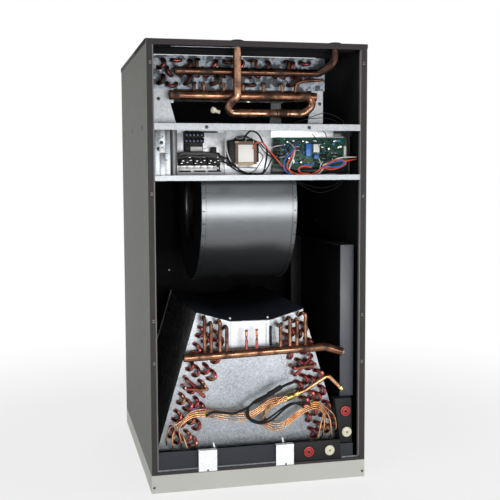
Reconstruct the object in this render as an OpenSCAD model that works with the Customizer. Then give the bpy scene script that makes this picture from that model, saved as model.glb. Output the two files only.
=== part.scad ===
// Upflow air handler with its front panels off. A sloped A-shaped cooling coil stands in a drain
// pan on the floor, a double-inlet centrifugal blower hangs under a deck, a control tray sits in
// front of the blower outlet and a flat hot-water coil lies above the deck, below the supply
// opening in the top. X runs across the front, Y into the depth and Z up, in millimetres. The
// origin is the middle of the base.

/* [Cabinet] */
// Gap between the upright pan and the insulation of the right side
side_gap = 12.3; // [8:0.1:40]
// Outside depth
cab_d = 770; // [760:1:810]
// Height of the top bay over the blower deck
top_bay_h = 230; // [224:1:300]
// Height of the base skirt
base_h = 52; // [46:1:60]
// Wall of the base skirt
base_t = 2; // [1.5:0.1:3]
// Width of the flanges at the top and foot of the skirt
base_flange = 28; // [20:1:34]
// Wall of the painted sheet
sheet_t = 1.2; // [0.8:0.1:1.6]
// Thickness of the black insulation
liner_t = 12; // [8:1:13]
// Face width of the door posts
post_w = 17; // [14:1:19]
// Depth of the door posts
post_d = 15; // [12:1:17]
// Height of the top door rail
top_rail_h = 15; // [10:1:18]
// Height of the bottom door rail
foot_rail_h = 8; // [6:1:10]
// Thickness of the pale strip inside each post
lip_t = 3.5; // [2:0.1:4.5]
// How far the top panel laps over the side panels
lap = 12; // [8:1:16]

/* [Openings] */
// Width of the supply opening in the top
supply_w = 540; // [480:1:560]
// Depth of the supply opening in the top
supply_d = 540; // [480:1:560]
// Width of the return opening in the floor
return_w = 300; // [260:1:310]
// Depth of the return opening in the floor
return_d = 440; // [400:1:450]

/* [Cooling coil] */
// Sideways place of the coil's middle
coil_x = -18; // [-20:1:-16]
// Distance from the cabinet's front to the coil's front tube sheet
coil_back = 55; // [52:1:60]
// Depth of the coil over its tube sheets
coil_d = 530; // [500:1:560]
// Lean of each slab from upright
tilt = 16.5; // [15.5:0.1:17]
// Length of a slab along its slope
slab_len = 414; // [400:1:418]
// Thickness of a slab
slab_t = 104; // [98:1:106]
// Half the gap between the slabs at the top
apex_half = 61; // [58:1:64]
// Height of the slabs' inner foot edges over the trough
slab_seat = 13.85; // [12:0.05:18]
// Spacing of the tubes along a row
tube_pitch = 25.4; // [24:0.1:27]
// Spacing of the tube rows
row_pitch = 22; // [20:0.1:23]
// Outside radius of the coil tubes
tube_r = 4.76; // [4:0.01:5]
// Spacing of the ribs that stand for the fins
fin_pitch = 12; // [10:1:20]
// Depth of the grooves between the ribs
fin_groove = 2.5; // [1:0.5:4]
// Wall of the galvanised coil plates
plate_t = 1.5; // [1:0.1:2]

/* [Refrigerant pipes] */
// Outside radius of the suction header
suction_r = 11.1; // [9:0.1:12]
// Drop from the slabs' inner top edges to the suction header's left end
suction_drop = 94; // [88:1:102]
// Outside radius of the liquid line
liquid_r = 6.35; // [5:0.05:7]
// Outside radius of the capillary tubes
capillary_r = 1.6; // [1.2:0.1:1.8]
// Radius of the distributor's outlet face
distributor_r = 11; // [10:0.5:13]

/* [Drain pan] */
// Height of the pan's rim above the floor
pan_h = 61.8; // [58:0.1:66]
// Wall of the moulded pans
pan_t = 4; // [3:0.5:5]
// Height of the trough floor above the cabinet's floor
trough_z = 17; // [14:1:20]
// Radius of the drain ports
port_r = 13.3; // [12:0.1:14]
// Height of the upright pan's top
side_pan_top = 700; // [660:1:740]
// Reach of the upright pan from its back wall
side_pan_w = 42; // [36:1:46]

/* [Blower] */
// Height of the scroll's underside over the slabs' inner top edges
blower_gap = 97; // [80:1:120]
// Wall of the deck and the tray
deck_t = 1.2; // [1:0.1:2]
// Height of the wheel's axis below the deck
blower_drop = 255; // [250:1:262]
// Place of the wheel's axis in the depth
blower_y = -22; // [-30:1:-10]
// Sideways place of the blower's middle
blower_x = -4; // [-12:1:4]
// Width of the blower housing
housing_w = 292; // [284:1:300]
// Wall of the blower housing
housing_t = 1.2; // [1:0.1:1.6]
// Growth of the scroll's radius in a quarter turn
scroll_step = 28; // [24:1:30]
// Radius of the scroll's first arc
scroll_r = 180; // [176:1:184]
// Throat radius of the inlet rings
inlet_r = 112; // [106:1:116]
// Outside radius of the wheel
wheel_r = 135; // [130:1:138]
// Width of the wheel
wheel_w = 224; // [210:1:230]
// Number of blades round the wheel
blade_count = 40; // [36:1:44]
// Radius of the motor
motor_r = 70; // [60:1:76]
// Length of the motor
motor_len = 112; // [100:1:118]
// Radius of the motor shaft
shaft_r = 6.35; // [5:0.05:8]
// Running gap round the shaft
shaft_gap = 0.05; // [0.03:0.01:0.1]

/* [Control tray] */
// Height of the tray over its flanges
tray_h = 160; // [156:1:164]
// Depth of the tray
tray_d = 95; // [90:1:100]
// Height of the tray's top flange
tray_lip = 18; // [16:1:22]
// Height of the tray's bottom flange
tray_foot = 15; // [12:1:18]
// Travel of the door switch's plunger
plunger_travel = 4; // [2:0.5:5]

/* [Hot-water coil] */
// Gap from the deck to the coil's underside
heat_rise = 100; // [98:1:106]
// Height of the coil
heat_h = 95; // [92:1:100]
// Width of the coil
heat_w = 513; // [490:1:516]
// Depth of the coil
heat_d = 480; // [440:1:520]
// Distance from the cabinet's front to the front tube sheet
heat_back = 73; // [71:1:80]
// Outside radius of the lower header
supply_r = 12.7; // [11:0.1:13]
// Outside radius of the riser and the crossing run
riser_r = 11.1; // [9:0.1:11.4]
// Outside radius of the upper header
outlet_r = 9.5; // [8:0.1:10]

/* [Hidden] */
$fn = 32;
touch = 0.05;
seat = 0.12;
floor_z = base_h + sheet_t;
trough_top = floor_z + trough_z;
pan_top = floor_z + pan_h;
apex_z = tenth(trough_top + slab_seat + slab_len * cos(tilt));
coil_half = tenth(apex_half + slab_t * cos(tilt) + slab_len * sin(tilt));
pan_right = coil_x + coil_half + 27;
side_x = pan_right + 8.7;
half_w = side_x + side_gap + liner_t + sheet_t;
scroll_shift = scroll_step / 2;
axis_z = apex_z + blower_gap + scroll_shift + scroll_r + scroll_step;
deck_z = axis_z + blower_drop;
cab_h = deck_z + top_bay_h;
front = -cab_d / 2;
back = cab_d / 2;
in_x = half_w - sheet_t;
wall_x = in_x - liner_t;
door_x = half_w - post_w;
bay_x = door_x - lip_t;
roof_z = cab_h - sheet_t;

pipe_y = front + 19;
riser_x = -61;
outlet_x = wall_x - 80.3;
grommet_r = 14;
grommet_rim = 18.6;

coil_front = front + coil_back;
coil_rear = coil_front + coil_d;
row_count = 4;
tube_rows = [0:row_count - 1];
first_tube = tube_pitch / 2;
tube_space = slab_len - first_tube - tube_pitch / 2 - tube_r;
tube_count = 2 * floor((floor(tube_space / tube_pitch) + 1) / 2);
row_margin = (slab_t - (row_count - 1) * row_pitch) / 2;
bend_stub = 5;
pan_front = coil_front - 45;
pan_rear = coil_rear + 25;
pan_left = max(slab_corner(-1, 1, 1)[0] - 5, 0.3 - bay_x);
gap_left = slab_corner(-1, 0, 1)[0] + 8;
gap_right = slab_corner(1, 0, 1)[0] - 8;
suction_y = coil_front - 42;
suction_z = apex_z - suction_drop;
suction_end = side_x - 96;
line_y = coil_front - 32;

under_deck = deck_z - deck_t;
housing_left = blower_x - housing_w / 2;
housing_right = blower_x + housing_w / 2;
bell_r = 14;
cut_angle = 70;
lean = 20;
lip_w = 12;
motor_end = housing_right + 6;

tray_z = under_deck - tray_h;
tray_rear = front + tray_d;
plate_y = tray_rear - 2 * deck_t;
board_y = plate_y - 10;
switch_at = [-bay_x + 22, tray_z + 86.2];
switch_r = 4;

heat_left = -wall_x + 10.3;
heat_right = heat_left + heat_w;
heat_z = deck_z + heat_rise;
heat_front = front + heat_back;
heat_rear = heat_front + heat_d;
heat_cols = floor((heat_w - 1.5 * tube_pitch) / tube_pitch);
heat_margin = (heat_h - 3 * row_pitch) / 2;
header_y = heat_front - 29;
supply_z = heat_z - 20;
outlet_z = heat_z + 48;
run_z = supply_z - 49;
run_bend = 16;
run_corner = [riser_x - 46, header_y, run_z];
supply_stubs = [4, 6, 8, 10, 12, 14, 16];
outlet_stubs = [5, 9, 13, 15];

function unit(v) = v / norm(v);
function tenth(v) = round(v * 10) / 10;
function angle_between(u, v) = acos(max(-1, min(1, unit(u) * unit(v))));
function mix(a, b, t) = a + (b - a) * t;
function backwards(list) = [for (i = [len(list) - 1:-1:0]) list[i]];

// Point on a cooling slab in the X-Z plane: across from its inner face, down from its top
function slab_point(side, across, along) = [
    coil_x + side * (apex_half + across * cos(tilt) + along * sin(tilt)),
    apex_z + across * sin(tilt) - along * cos(tilt)];
function slab_corner(side, outer, foot) = slab_point(side, outer * slab_t, foot * slab_len);
function tube_at(side, row, j) = slab_point(side, slab_t - row_margin - row * row_pitch,
    first_tube + (j + (row % 2) / 2) * tube_pitch);

// Tube of the hot-water coil in the X-Z plane, rows counted from the bottom
function heat_tube(row, j) = [heat_left + tube_pitch * (j + 0.75 + (row % 2) / 2),
    heat_z + heat_margin + row * row_pitch];

// Centre and radius of each quarter of the scroll, from the cut-off round to the outlet
function scroll_centre(q) = [blower_y + [1, -1, -1, 1][q] * scroll_shift,
    axis_z + [-1, -1, 1, 1][q] * scroll_shift];
function scroll_radius(q) = scroll_r + q * scroll_step;
function on_scroll(q, a, out) = scroll_centre(q) + (scroll_radius(q) + out) * [cos(a), sin(a)];
scroll_arcs = [[0, 0, cut_angle], [1, -90, 0], [2, -180, -90], [3, -180 - lean, -180]];
cut_y = on_scroll(0, cut_angle, 0)[0] - touch;
function outlet_front(out) = let (p = on_scroll(3, -180 - lean, out))
    [p[0] + (under_deck - p[1]) * tan(lean), under_deck];

module block(x, y, z) {
    translate([x[0], y[0], z[0]])
        cube([x[1] - x[0], y[1] - y[0], z[1] - z[0]]);
}

module plate_xz(y, outline) {
    translate([0, y[1], 0])
        rotate([90, 0, 0])
            linear_extrude(y[1] - y[0])
                polygon(outline);
}

module plate_yz(x, outline) {
    translate([x[0], 0, 0])
        rotate([90, 0, 90])
            linear_extrude(x[1] - x[0])
                polygon(outline);
}

module along(a, b) {
    d = b - a;
    translate(a)
        rotate([0, acos(d[2] / norm(d)), atan2(d[1], d[0])])
            children();
}

module rod(a, b, r) {
    along(a, b)
        cylinder(h = norm(b - a), r = r);
}

module rod_y(p, y, r) {
    rod([p[0], y[1], p[1]], [p[0], y[0], p[1]], r);
}

// Round elbow that turns a pipe from one straight run into the next. Its ends reach a few
// degrees into the runs, which are a hair wider.
module elbow(before, corner, after, r, bend) {
    u = unit(corner - before);
    v = unit(after - corner);
    turn = angle_between(u, v);
    n = unit(v - (u * v) * u);
    w = cross(u, n);
    c = corner - u * bend * tan(turn / 2) + n * bend;
    multmatrix([[-n[0], u[0], w[0], c[0]], [-n[1], u[1], w[1], c[1]], [-n[2], u[2], w[2], c[2]]])
        rotate([0, 0, -4])
            rotate_extrude(angle = turn + 8)
                translate([bend, 0])
                    circle(r - seat);
}

module pipe(points, r, bend) {
    last = len(points) - 1;
    function cut(i) = i == 0 || i == last ? 0
        : bend * tan(angle_between(points[i] - points[i - 1], points[i + 1] - points[i]) / 2);
    for (i = [0:last - 1]) {
        u = unit(points[i + 1] - points[i]);
        rod(points[i] + u * cut(i), points[i + 1] - u * cut(i + 1), r);
    }
    for (i = [1:1:last - 1])
        elbow(points[i - 1], points[i], points[i + 1], r, bend);
}

// Half-round return bend between two tubes, standing out from a tube sheet
module return_bend(p, q, face) {
    middle = (p + q) / 2;
    d = q - p;
    r = norm(d) / 2;
    translate([middle[0], face, middle[1]])
        rotate([180, -atan2(d[1], d[0]), 0]) {
            for (x = [-r, r])
                translate([x, 0, 0])
                    rotate([-90, 0, 0])
                        cylinder(h = bend_stub, r = tube_r);
            translate([0, bend_stub, 0])
                rotate([0, 0, -5])
                    rotate_extrude(angle = 190)
                        translate([r, 0])
                            circle(tube_r - seat);
        }
}

// Smooth route through chosen points, with three steps between each two
function spline(a, b, c, d, t) = 0.5 * (2 * b + (c - a) * t + (2 * a - 5 * b + 4 * c - d) * t * t
    + (3 * b - a - 3 * c + d) * t * t * t);
function smooth(p, steps = 3) = let (last = len(p) - 1)
    concat([for (i = [0:last - 1]) for (s = [0:steps - 1])
        spline(p[max(i - 1, 0)], p[i], p[i + 1], p[min(i + 2, last)], s / steps)], [p[last]]);
function tangents(p) = let (last = len(p) - 1)
    [for (i = [0:last]) unit(p[min(i + 1, last)] - p[max(i - 1, 0)])];
function side_vectors(t, v, i = 0) = i == len(t) ? []
    : let (w = unit(v - (v * t[i]) * t[i])) concat([w], side_vectors(t, w, i + 1));

// Round cord along a route, as one closed tube with six sides
module cord(points, r) {
    path = smooth(points);
    t = tangents(path);
    start = abs(t[0][2]) < 0.9 ? [0, 0, 1] : [1, 0, 0];
    across = side_vectors(t, start);
    sides = 6;
    rings = len(path);
    skin = [for (i = [0:rings - 1]) for (k = [0:sides - 1])
        path[i] + r * (cos(60 * k) * across[i] + sin(60 * k) * cross(t[i], across[i]))];
    walls = [for (i = [0:rings - 2]) for (k = [0:sides - 1]) for (half = [0, 1])
        let (n = (k + 1) % sides, a = i * sides, b = a + sides)
        half == 0 ? [a + k, b + k, b + n] : [a + k, b + n, a + n]];
    end = (rings - 1) * sides;
    caps = [for (k = [1:sides - 2]) for (far = [0, 1])
        far == 0 ? [0, k, k + 1] : [end, end + k + 1, end + k]];
    polyhedron(points = skin, faces = concat(walls, caps));
}

module base_frame() color([0.80, 0.80, 0.78]) {
    wall = half_w - base_t;
    throat = wall - base_flange;
    difference() {
        block([-half_w, half_w], [front, back], [0, base_h]);
        block([-wall, wall], [front + base_t, back - base_t], [base_t, base_h - base_t]);
        block([-throat, throat], [front + base_t + base_flange, back - base_t - base_flange],
            [-1, base_h + 1]);
    }
}

module floor_deck() color([0.78, 0.79, 0.80]) {
    mid_y = (coil_front + coil_rear) / 2;
    step = 7;
    difference() {
        union() {
            block([-in_x, in_x], [front + post_d, back - sheet_t], [base_h, floor_z]);
            block([-door_x + touch, door_x - touch], [front + foot_rail_h, front + post_d],
                [base_h, floor_z]);
            for (x = [[-door_x + touch, 96], [252, door_x - touch]])
                block(x, [front + foot_rail_h, front + foot_rail_h + sheet_t], [base_h, base_h + 12]);
        }
        block([coil_x - return_w / 2, coil_x + return_w / 2],
            [mid_y - return_d / 2, mid_y + return_d / 2], [base_h - 1, floor_z + 1]);
        for (side = [-1, 1])
            block([side * in_x - step, side * in_x + step], [front + post_d - 1, front + post_d + step],
                [base_h - 1, floor_z + 1]);
    }
}

module side_panel(side) {
    foot = base_h;
    difference() {
        union() {
            block([min(side * in_x, side * half_w), max(side * in_x, side * half_w)], [front, back],
                [foot, roof_z]);
        }
        if (side < 0) {
            for (y = [front + 124, front + 408, back - 73])
                rod([-half_w - 1, y, deck_z - 8], [-in_x + 1, y, deck_z - 8], 8);
            block([-half_w - 1, -in_x + 1], [front + 18, front + 24], [tray_z + 40.2, tray_z + 74.2]);
        }
    }
}

module left_side_panel() color([0.55, 0.56, 0.52]) side_panel(-1);

module right_side_panel() color([0.55, 0.56, 0.52]) side_panel(1);

module back_panel() color([0.55, 0.56, 0.52])
    block([-in_x, in_x], [back - sheet_t, back], [floor_z, roof_z]);

module supply_cut(z) {
    mid_y = (heat_front + heat_rear) / 2;
    block([-supply_w / 2, supply_w / 2], [mid_y - supply_d / 2 + 12, mid_y + supply_d / 2], z);
}

module top_panel() color([0.22, 0.21, 0.21]) {
    over = half_w + 0.3;
    skin = over + sheet_t;
    difference() {
        block([-skin, skin], [front, back + 0.3 + sheet_t], [cab_h - lap, cab_h]);
        block([-over, over], [front - 1, back + 0.3], [cab_h - lap - 1, roof_z]);
        supply_cut([cab_h - lap - 1, cab_h + 1]);
        for (x = [riser_x, outlet_x])
            rod([x, pipe_y, roof_z - 1], [x, pipe_y, cab_h + 1], grommet_r + 0.3);
    }
}

module door_posts() color([0.30, 0.27, 0.28])
    for (side = [-1, 1]) {
        x = [side * door_x, side * in_x];
        block([min(x), max(x)], [front, front + post_d], [base_h, roof_z]);
        lug_x = side * (half_w - 11);
        lugs = side < 0 ? [base_h + 325, base_h + 446, tray_z - 36, roof_z - 64]
            : [tray_z - 48, roof_z - 54];
        for (z = lugs)
            block([lug_x - 5, lug_x + 5], [front - 1.5, front], [z - 5, z + 5]);
    }

module door_rails() color([0.30, 0.27, 0.28]) {
    block([-door_x, door_x], [front, front + 3], [roof_z - top_rail_h, roof_z]);
    block([-door_x, door_x], [front, front + foot_rail_h], [base_h, base_h + foot_rail_h]);
}

module door_lips() color([0.78, 0.79, 0.80])
    for (side = [-1, 1])
        block([min(side * bay_x, side * door_x), max(side * bay_x, side * door_x)],
            [front + 2, front + 13],
            [base_h + foot_rail_h + 5, roof_z - top_rail_h]);

module side_liners() color([0.05, 0.05, 0.05])
    for (side = [-1, 1])
        block([min(side * in_x, side * wall_x), max(side * in_x, side * wall_x)],
            [front + post_d, back - sheet_t], [floor_z, roof_z]);

module back_liner() color([0.05, 0.05, 0.05])
    block([-wall_x, wall_x], [back - sheet_t - liner_t, back - sheet_t], [floor_z, roof_z]);

module top_liner() color([0.05, 0.05, 0.05])
    difference() {
        block([-wall_x, wall_x], [front + 40, back - sheet_t - liner_t], [roof_z - liner_t, roof_z]);
        supply_cut([roof_z - liner_t - 1, cab_h + 1]);
    }

module pipe_grommets() color([0.06, 0.06, 0.06])
    for (p = [[riser_x, riser_r], [outlet_x, outlet_r]])
        translate([p[0], pipe_y, roof_z - 6])
            rotate_extrude()
                polygon([[p[1] + 0.3, 0], [grommet_r, 0], [grommet_r, 7.2], [grommet_rim, 7.2],
                    [grommet_rim - 1, 10], [p[1] + 0.3, 11.5]]);

module top_edge_strip() color([0.05, 0.05, 0.05])
    block([-half_w - 0.3 - sheet_t - 1, -half_w - 0.3 - sheet_t], [front + 7, front + 273],
        [cab_h - lap + 1, cab_h - 1]);

module screw_head(p, r = 4.5) {
    rod(p, p - [0, 1.6, 0], r);
}

module cabinet_screws() color([0.08, 0.08, 0.08]) {
    for (side = [-1, 1])
        screw_head([side * (half_w - 7.5), front, 17], 3.5);
    for (x = [-154, 146])
        screw_head([x, front, under_deck - 10], 5.5);
    screw_head([heat_left + 15, heat_front, heat_z - 35], 5.5);
    screw_head([heat_right - 33, heat_front, heat_z - 34], 5.5);
    screw_head([-bay_x + 19, front + 10, tray_z + 109.2], 4.5);
    for (x = [-158, 76])
        screw_head([x, front - 1, base_h + 5], 3);
}

// Fin block of one slab, with grooves along both faces where the fins' rippled rows run
module coil_fins(side) {
    ribs = floor((slab_len - fin_pitch) / fin_pitch);
    lead = (slab_len - ribs * fin_pitch) / 2;
    notch = fin_pitch * 0.3;
    function grooves(face, bottom) = [for (i = [0:ribs - 1]) let (d = lead + (i + 0.5) * fin_pitch)
        each [slab_point(side, face, d - notch), slab_point(side, bottom, d),
            slab_point(side, face, d + notch)]];
    plate_xz([coil_front, coil_rear - plate_t], concat([slab_corner(side, 1, 0)],
        grooves(slab_t, slab_t - fin_groove), [slab_corner(side, 1, 1), slab_corner(side, 0, 1)],
        backwards(grooves(0, fin_groove)), [slab_corner(side, 0, 0)]));
}

module left_coil_fins() color([0.04, 0.04, 0.05]) coil_fins(-1);

module right_coil_fins() color([0.04, 0.04, 0.05]) coil_fins(1);

module coil_tube_sheets() color([0.80, 0.81, 0.82])
    for (side = [-1, 1]) {
        inner = slab_corner(side, 0, 1);
        outer = slab_corner(side, 1, 1);
        for (y = [coil_front - plate_t, coil_rear - plate_t])
            plate_xz([y, y + plate_t], [slab_corner(side, 0, 0), slab_corner(side, 1, 0), outer,
                [outer[0] - side * 12, trough_top], [inner[0] + side * 2, trough_top], inner]);
    }

// Long bend that crosses the slab from one row to another, arched clear of the short bends
module crossover(p, q, reach) {
    face = coil_front - plate_t;
    pipe([[p[0], face, p[1]], [p[0], face - reach, p[1]], [q[0], face - reach, q[1]],
        [q[0], face, q[1]]], tube_r, 8);
}

module coil_return_bends() color([0.72, 0.32, 0.22]) {
    face = coil_front - plate_t;
    for (side = [-1, 1]) {
        swap = side < 0 ? 7 : 5;
        for (row = tube_rows)
            for (j = [1:2:tube_count - 3])
                if (j != swap || row == 1 || row == 2)
                    return_bend(tube_at(side, row, j), tube_at(side, row, j + 1), face);
        crossover(tube_at(side, 0, swap), tube_at(side, 3, swap + 1), bend_stub + 24);
        crossover(tube_at(side, 3, swap), tube_at(side, 0, swap + 1), bend_stub + 35);
    }
}

function cap_edge(side, outer, up) = slab_point(side, outer * (slab_t + 3), -up);

module coil_top_cap() color([0.05, 0.05, 0.06]) {
    gap = 0.3;
    plate_xz([coil_front - 8, coil_rear + 8], [cap_edge(-1, 1, gap), cap_edge(-1, 0, gap),
        cap_edge(1, 0, gap), cap_edge(1, 1, gap), cap_edge(1, 1, gap + plate_t),
        cap_edge(1, 0, gap + plate_t), cap_edge(-1, 0, gap + plate_t), cap_edge(-1, 1, gap + plate_t)]);
}

// Plates that close the front and the back of the A between the slabs
module delta_plates() color([0.80, 0.81, 0.82]) {
    gap = 0.3;
    outline = [slab_point(-1, -gap, 1), slab_point(1, -gap, 1), slab_point(1, -gap, slab_len - 4),
        slab_point(-1, -gap, slab_len - 4)];
    plate_xz([coil_front, coil_front + plate_t], outline);
    plate_xz([coil_rear - 2 * plate_t, coil_rear - plate_t], outline);
}

module centre_plate() color([0.90, 0.91, 0.92]) {
    top = apex_z - 2;
    foot = suction_z + 15;
    half = apex_half - 2;
    difference() {
        block([coil_x - half, coil_x + half], [coil_front - plate_t, coil_front], [foot, top]);
        block([coil_x + half - 14, coil_x + half - 9], [coil_front - 3, coil_front + 1],
            [foot + 8, top - 6]);
    }
}

suction_start = -221;
suction_rise = 0.031;
function header_z(x) = suction_z + (x - suction_start) * suction_rise;

// Suction header with a hooked riser from the top tube of every row, and its crimped end
module suction_header() color([0.78, 0.45, 0.30]) {
    face = coil_front - plate_t;
    left = [suction_start, suction_y, suction_z];
    turn = [suction_end, suction_y, header_z(suction_end)];
    tail = [suction_end + 52, suction_y - 2, suction_z - 4];
    pipe([left, turn, tail], suction_r, 16);
    rod(left + [4, 0, 0], left - [2.5, 0, 0], suction_r - 1.5);
    rod(tail - 4 * unit(tail - turn), tail + 6 * unit(tail - turn), suction_r - 5);
    for (side = [-1, 1])
        for (row = tube_rows) {
            p = tube_at(side, row, 0);
            x = p[0] - side * 9;
            pipe([[p[0], face, p[1]], [p[0], suction_y + 9, p[1]], [x, suction_y, p[1]],
                [x, suction_y, header_z(x)]], tube_r, 5);
        }
    for (x = [-39, -8])
        difference() {
            rod([x, suction_y, header_z(x)], [x, suction_y, header_z(x) + 70], 4);
            for (flat = [-1, 1])
                block([x + flat * 3.4 - 2, x + flat * 3.4 + 2], [suction_y - 6, suction_y + 6],
                    [header_z(x) + 52, header_z(x) + 71]);
        }
}

// The distributor points down to the left, its outlet face towards the capillary tubes
dist_face = [83, line_y, trough_top + 178.8];
dist_inlet = [120, line_y, trough_top + 191.8];
dist_axis = unit(dist_face - dist_inlet);

module distributor() color([0.80, 0.62, 0.30])
    along(dist_inlet, dist_face) {
        cylinder(h = 12, r = 10, $fn = 6);
        translate([0, 0, 12])
            cylinder(h = 14, r1 = 8, r2 = distributor_r);
        translate([0, 0, 26])
            cylinder(h = norm(dist_face - dist_inlet) - 26, r = distributor_r);
    }

function outlet_at(k, up) = dist_face + (distributor_r - 4.2) * (cos(22.5 + 45 * k) * [0, 1, 0]
    + up * sin(22.5 + 45 * k) * cross([0, 1, 0], dist_axis));

// Routes of the capillary tubes, sideways and up from the trough
left_route = [[44, 171.8], [10, 160.8], [-25, 145.8], [-60, 138.8], [-110, 146.8], [-155, 153.8],
    [-190, 149.8], [-215, 137.8], [-238, 117.8]];
right_route = [[56, 159.8], [42, 139.8], [36, 117.8], [46, 99.8], [70, 95.8], [98, 111.8],
    [130, 135.8], [160, 149.8], [184, 141.8]];

// One capillary tube from the distributor to the lowest tube of a row
module capillary(side, k, route) {
    hole = tube_at(side, k, tube_count - 1);
    start = outlet_at(k, -side);
    depth = coil_front - 26.4 - 3.6 * k;
    cord(concat([start, start + 8 * dist_axis],
        [for (p = route) [p[0] + 3 * k, depth, trough_top + p[1] - 4 * k]],
        [[hole[0] - side * 4, depth, hole[1] + 26], [hole[0], coil_front - 16, hole[1] + 2],
        [hole[0], coil_front - plate_t, hole[1]]]), capillary_r);
}

module capillary_tubes() color([0.80, 0.50, 0.32])
    for (k = tube_rows) {
        capillary(-1, k, left_route);
        capillary(1, k, right_route);
    }

module liquid_line() color([0.78, 0.45, 0.30]) {
    top = [side_x - 84, line_y, trough_top + 240.8];
    foot = [side_x - 45, line_y, trough_top + 201.8];
    pipe([dist_inlet, dist_inlet - 22 * dist_axis, top, foot], liquid_r, 14);
    rod(foot - 2 * unit(foot - top), foot + 8 * unit(foot - top), liquid_r + 2.5);
}

module sensor_lead() color([0.05, 0.05, 0.05])
    translate([0, coil_front - 40.6, trough_top]) {
        rod([90, -2, 226.8], [64, -2, 216.8], 4);
        cord([[64, -2, 216.8], [34, -1, 202.8], [0, 0, 186.8], [-28, 0, 165.8], [-62, 0, 155.8],
            [-100, 0, 151.8], [-140, 0, 157.8], [-162, 0, 154], [-176, 0, 138.4]], 1.5);
        cord([[-148, -3.3, 158], [-134, -3.4, 150.8], [-90, -3.4, 135.8], [-30, -3.4, 120.8],
            [0, -3.4, 113.8], [36, -3.4, 121.8], [82, -3.4, 149.8], [112, -3.4, 165.8],
            [138, -3.4, 166.8]], 1.5);
    }

module drain_pan() color([0.05, 0.05, 0.05])
    difference() {
        block([pan_left, pan_right], [pan_front, pan_rear], [floor_z, pan_top]);
        block([pan_left + pan_t, pan_right - pan_t], [pan_front + pan_t, coil_front + 16],
            [trough_top, pan_top + 1]);
        block([pan_left + pan_t, pan_right - pan_t], [coil_rear - 16, pan_rear - pan_t],
            [trough_top, pan_top + 1]);
        for (x = [[pan_left + pan_t, gap_left - pan_t], [gap_right + pan_t, pan_right - pan_t]])
            block(x, [pan_front + pan_t, pan_rear - pan_t], [trough_top, pan_top + 1]);
        block([gap_left, gap_right], [coil_front + 16 + pan_t, coil_rear - 16 - pan_t],
            [floor_z - 1, pan_top + 1]);
        block([pan_left + pan_t, pan_right - pan_t], [pan_front + pan_t, coil_front + 16],
            [floor_z - 1, trough_top - pan_t]);
        block([pan_right - 39.3, pan_right + 1], [pan_front - 1, pan_front + 60],
            [pan_top - 12, pan_top + 1]);
        block([gap_left - pan_t, gap_right + pan_t], [coil_front + 15, coil_front + 17 + pan_t],
            [trough_top + 8, pan_top + 1]);
        block([gap_left - pan_t, gap_right + pan_t], [coil_rear - 17 - pan_t, coil_rear - 15],
            [trough_top + 8, pan_top + 1]);
        for (x = [[gap_left - pan_t - 1, gap_left + 1], [gap_right - 1, gap_right + pan_t + 1]])
            block(x, [pan_front + pan_t, pan_rear - pan_t], [trough_top + 8, pan_top + 1]);
        for (p = [port_a, port_b])
            rod_y(p, [pan_front - 1, pan_front + pan_t + 1], port_r);
    }

port_a = [pan_right - 140.3, trough_top + 17.8];
port_b = [pan_right - 75.3, trough_top + 17.8];
port_c = [side_x - 31, trough_top + 130.8];
port_d = [side_x - 27, trough_top + 66.8];

module side_drain_pan() color([0.09, 0.10, 0.12]) {
    x = side_x - side_pan_w;
    y = [side_front, coil_rear];
    foot = block_top + 0.3;
    difference() {
        block([x, side_x], y, [foot, side_pan_top]);
        block([x - 1, side_x - pan_t], [y[0] + pan_t, y[1] - pan_t], [foot + pan_t, side_pan_top - pan_t]);
    }
}

side_front = pan_front + 25;
block_top = trough_top + 170.8;

module port_blocks() color([0.05, 0.05, 0.05])
    difference() {
        union() {
            block([pan_right - 186.3, pan_right - 40.3], [pan_front - 6, pan_front],
                [base_h + foot_rail_h + 0.3, pan_top + 3]);
            plate_xz([pan_front + 5, coil_front - plate_t - 0.3], [[pan_right - 38.3, pan_top - 12],
                [pan_right - 0.3, pan_top - 12], [pan_right - 2.3, block_top],
                [pan_right - 56.3, block_top]]);
        }
        for (p = [port_a, port_b])
            rod_y(p, [pan_front - 7, pan_front + 1], port_r);
        for (p = [port_c, port_d])
            rod_y(p, [pan_front + 4, pan_front + 30], port_r);
    }

module drain_plug(p, face, depth) {
    difference() {
        union() {
            rod_y(p, [face - 4.5, face], port_r + 1.7);
            rod_y(p, [face, face + depth], port_r - 0.3);
        }
        block([p[0] - 4, p[0] + 4], [face - 5, face + 3], [p[1] - 4, p[1] + 4]);
    }
}

module red_drain_plugs() color([0.75, 0.10, 0.08]) {
    drain_plug(port_a, pan_front - 6, 12);
    drain_plug(port_c, pan_front + 5, 18);
}

module cream_drain_plugs() color([0.85, 0.82, 0.70]) {
    drain_plug(port_b, pan_front - 6, 12);
    drain_plug(port_d, pan_front + 5, 18);
}

module pan_clips() color([0.80, 0.81, 0.82])
    for (x = [[-185, -131], [46, 100]])
        plate_yz(x, [[front - 1, base_h + 2], [front, base_h + 2], [front, pan_top],
            [pan_front + pan_t + 0.3, pan_top], [pan_front + pan_t + 0.3, pan_top - 9],
            [pan_front + pan_t + 1.3, pan_top - 9], [pan_front + pan_t + 1.3, pan_top + 1],
            [front - 1, pan_top + 1]]);

module blower_deck() color([0.78, 0.79, 0.80])
    difference() {
        block([-wall_x + 0.3, wall_x - 0.3], [front + post_d + 1, back - sheet_t - liner_t - 0.3],
            [under_deck, deck_z]);
        block([housing_left + housing_t, housing_right - housing_t], [outlet_front(0)[0], cut_y - housing_t],
            [under_deck - 1, deck_z + 1]);
    }

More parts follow.
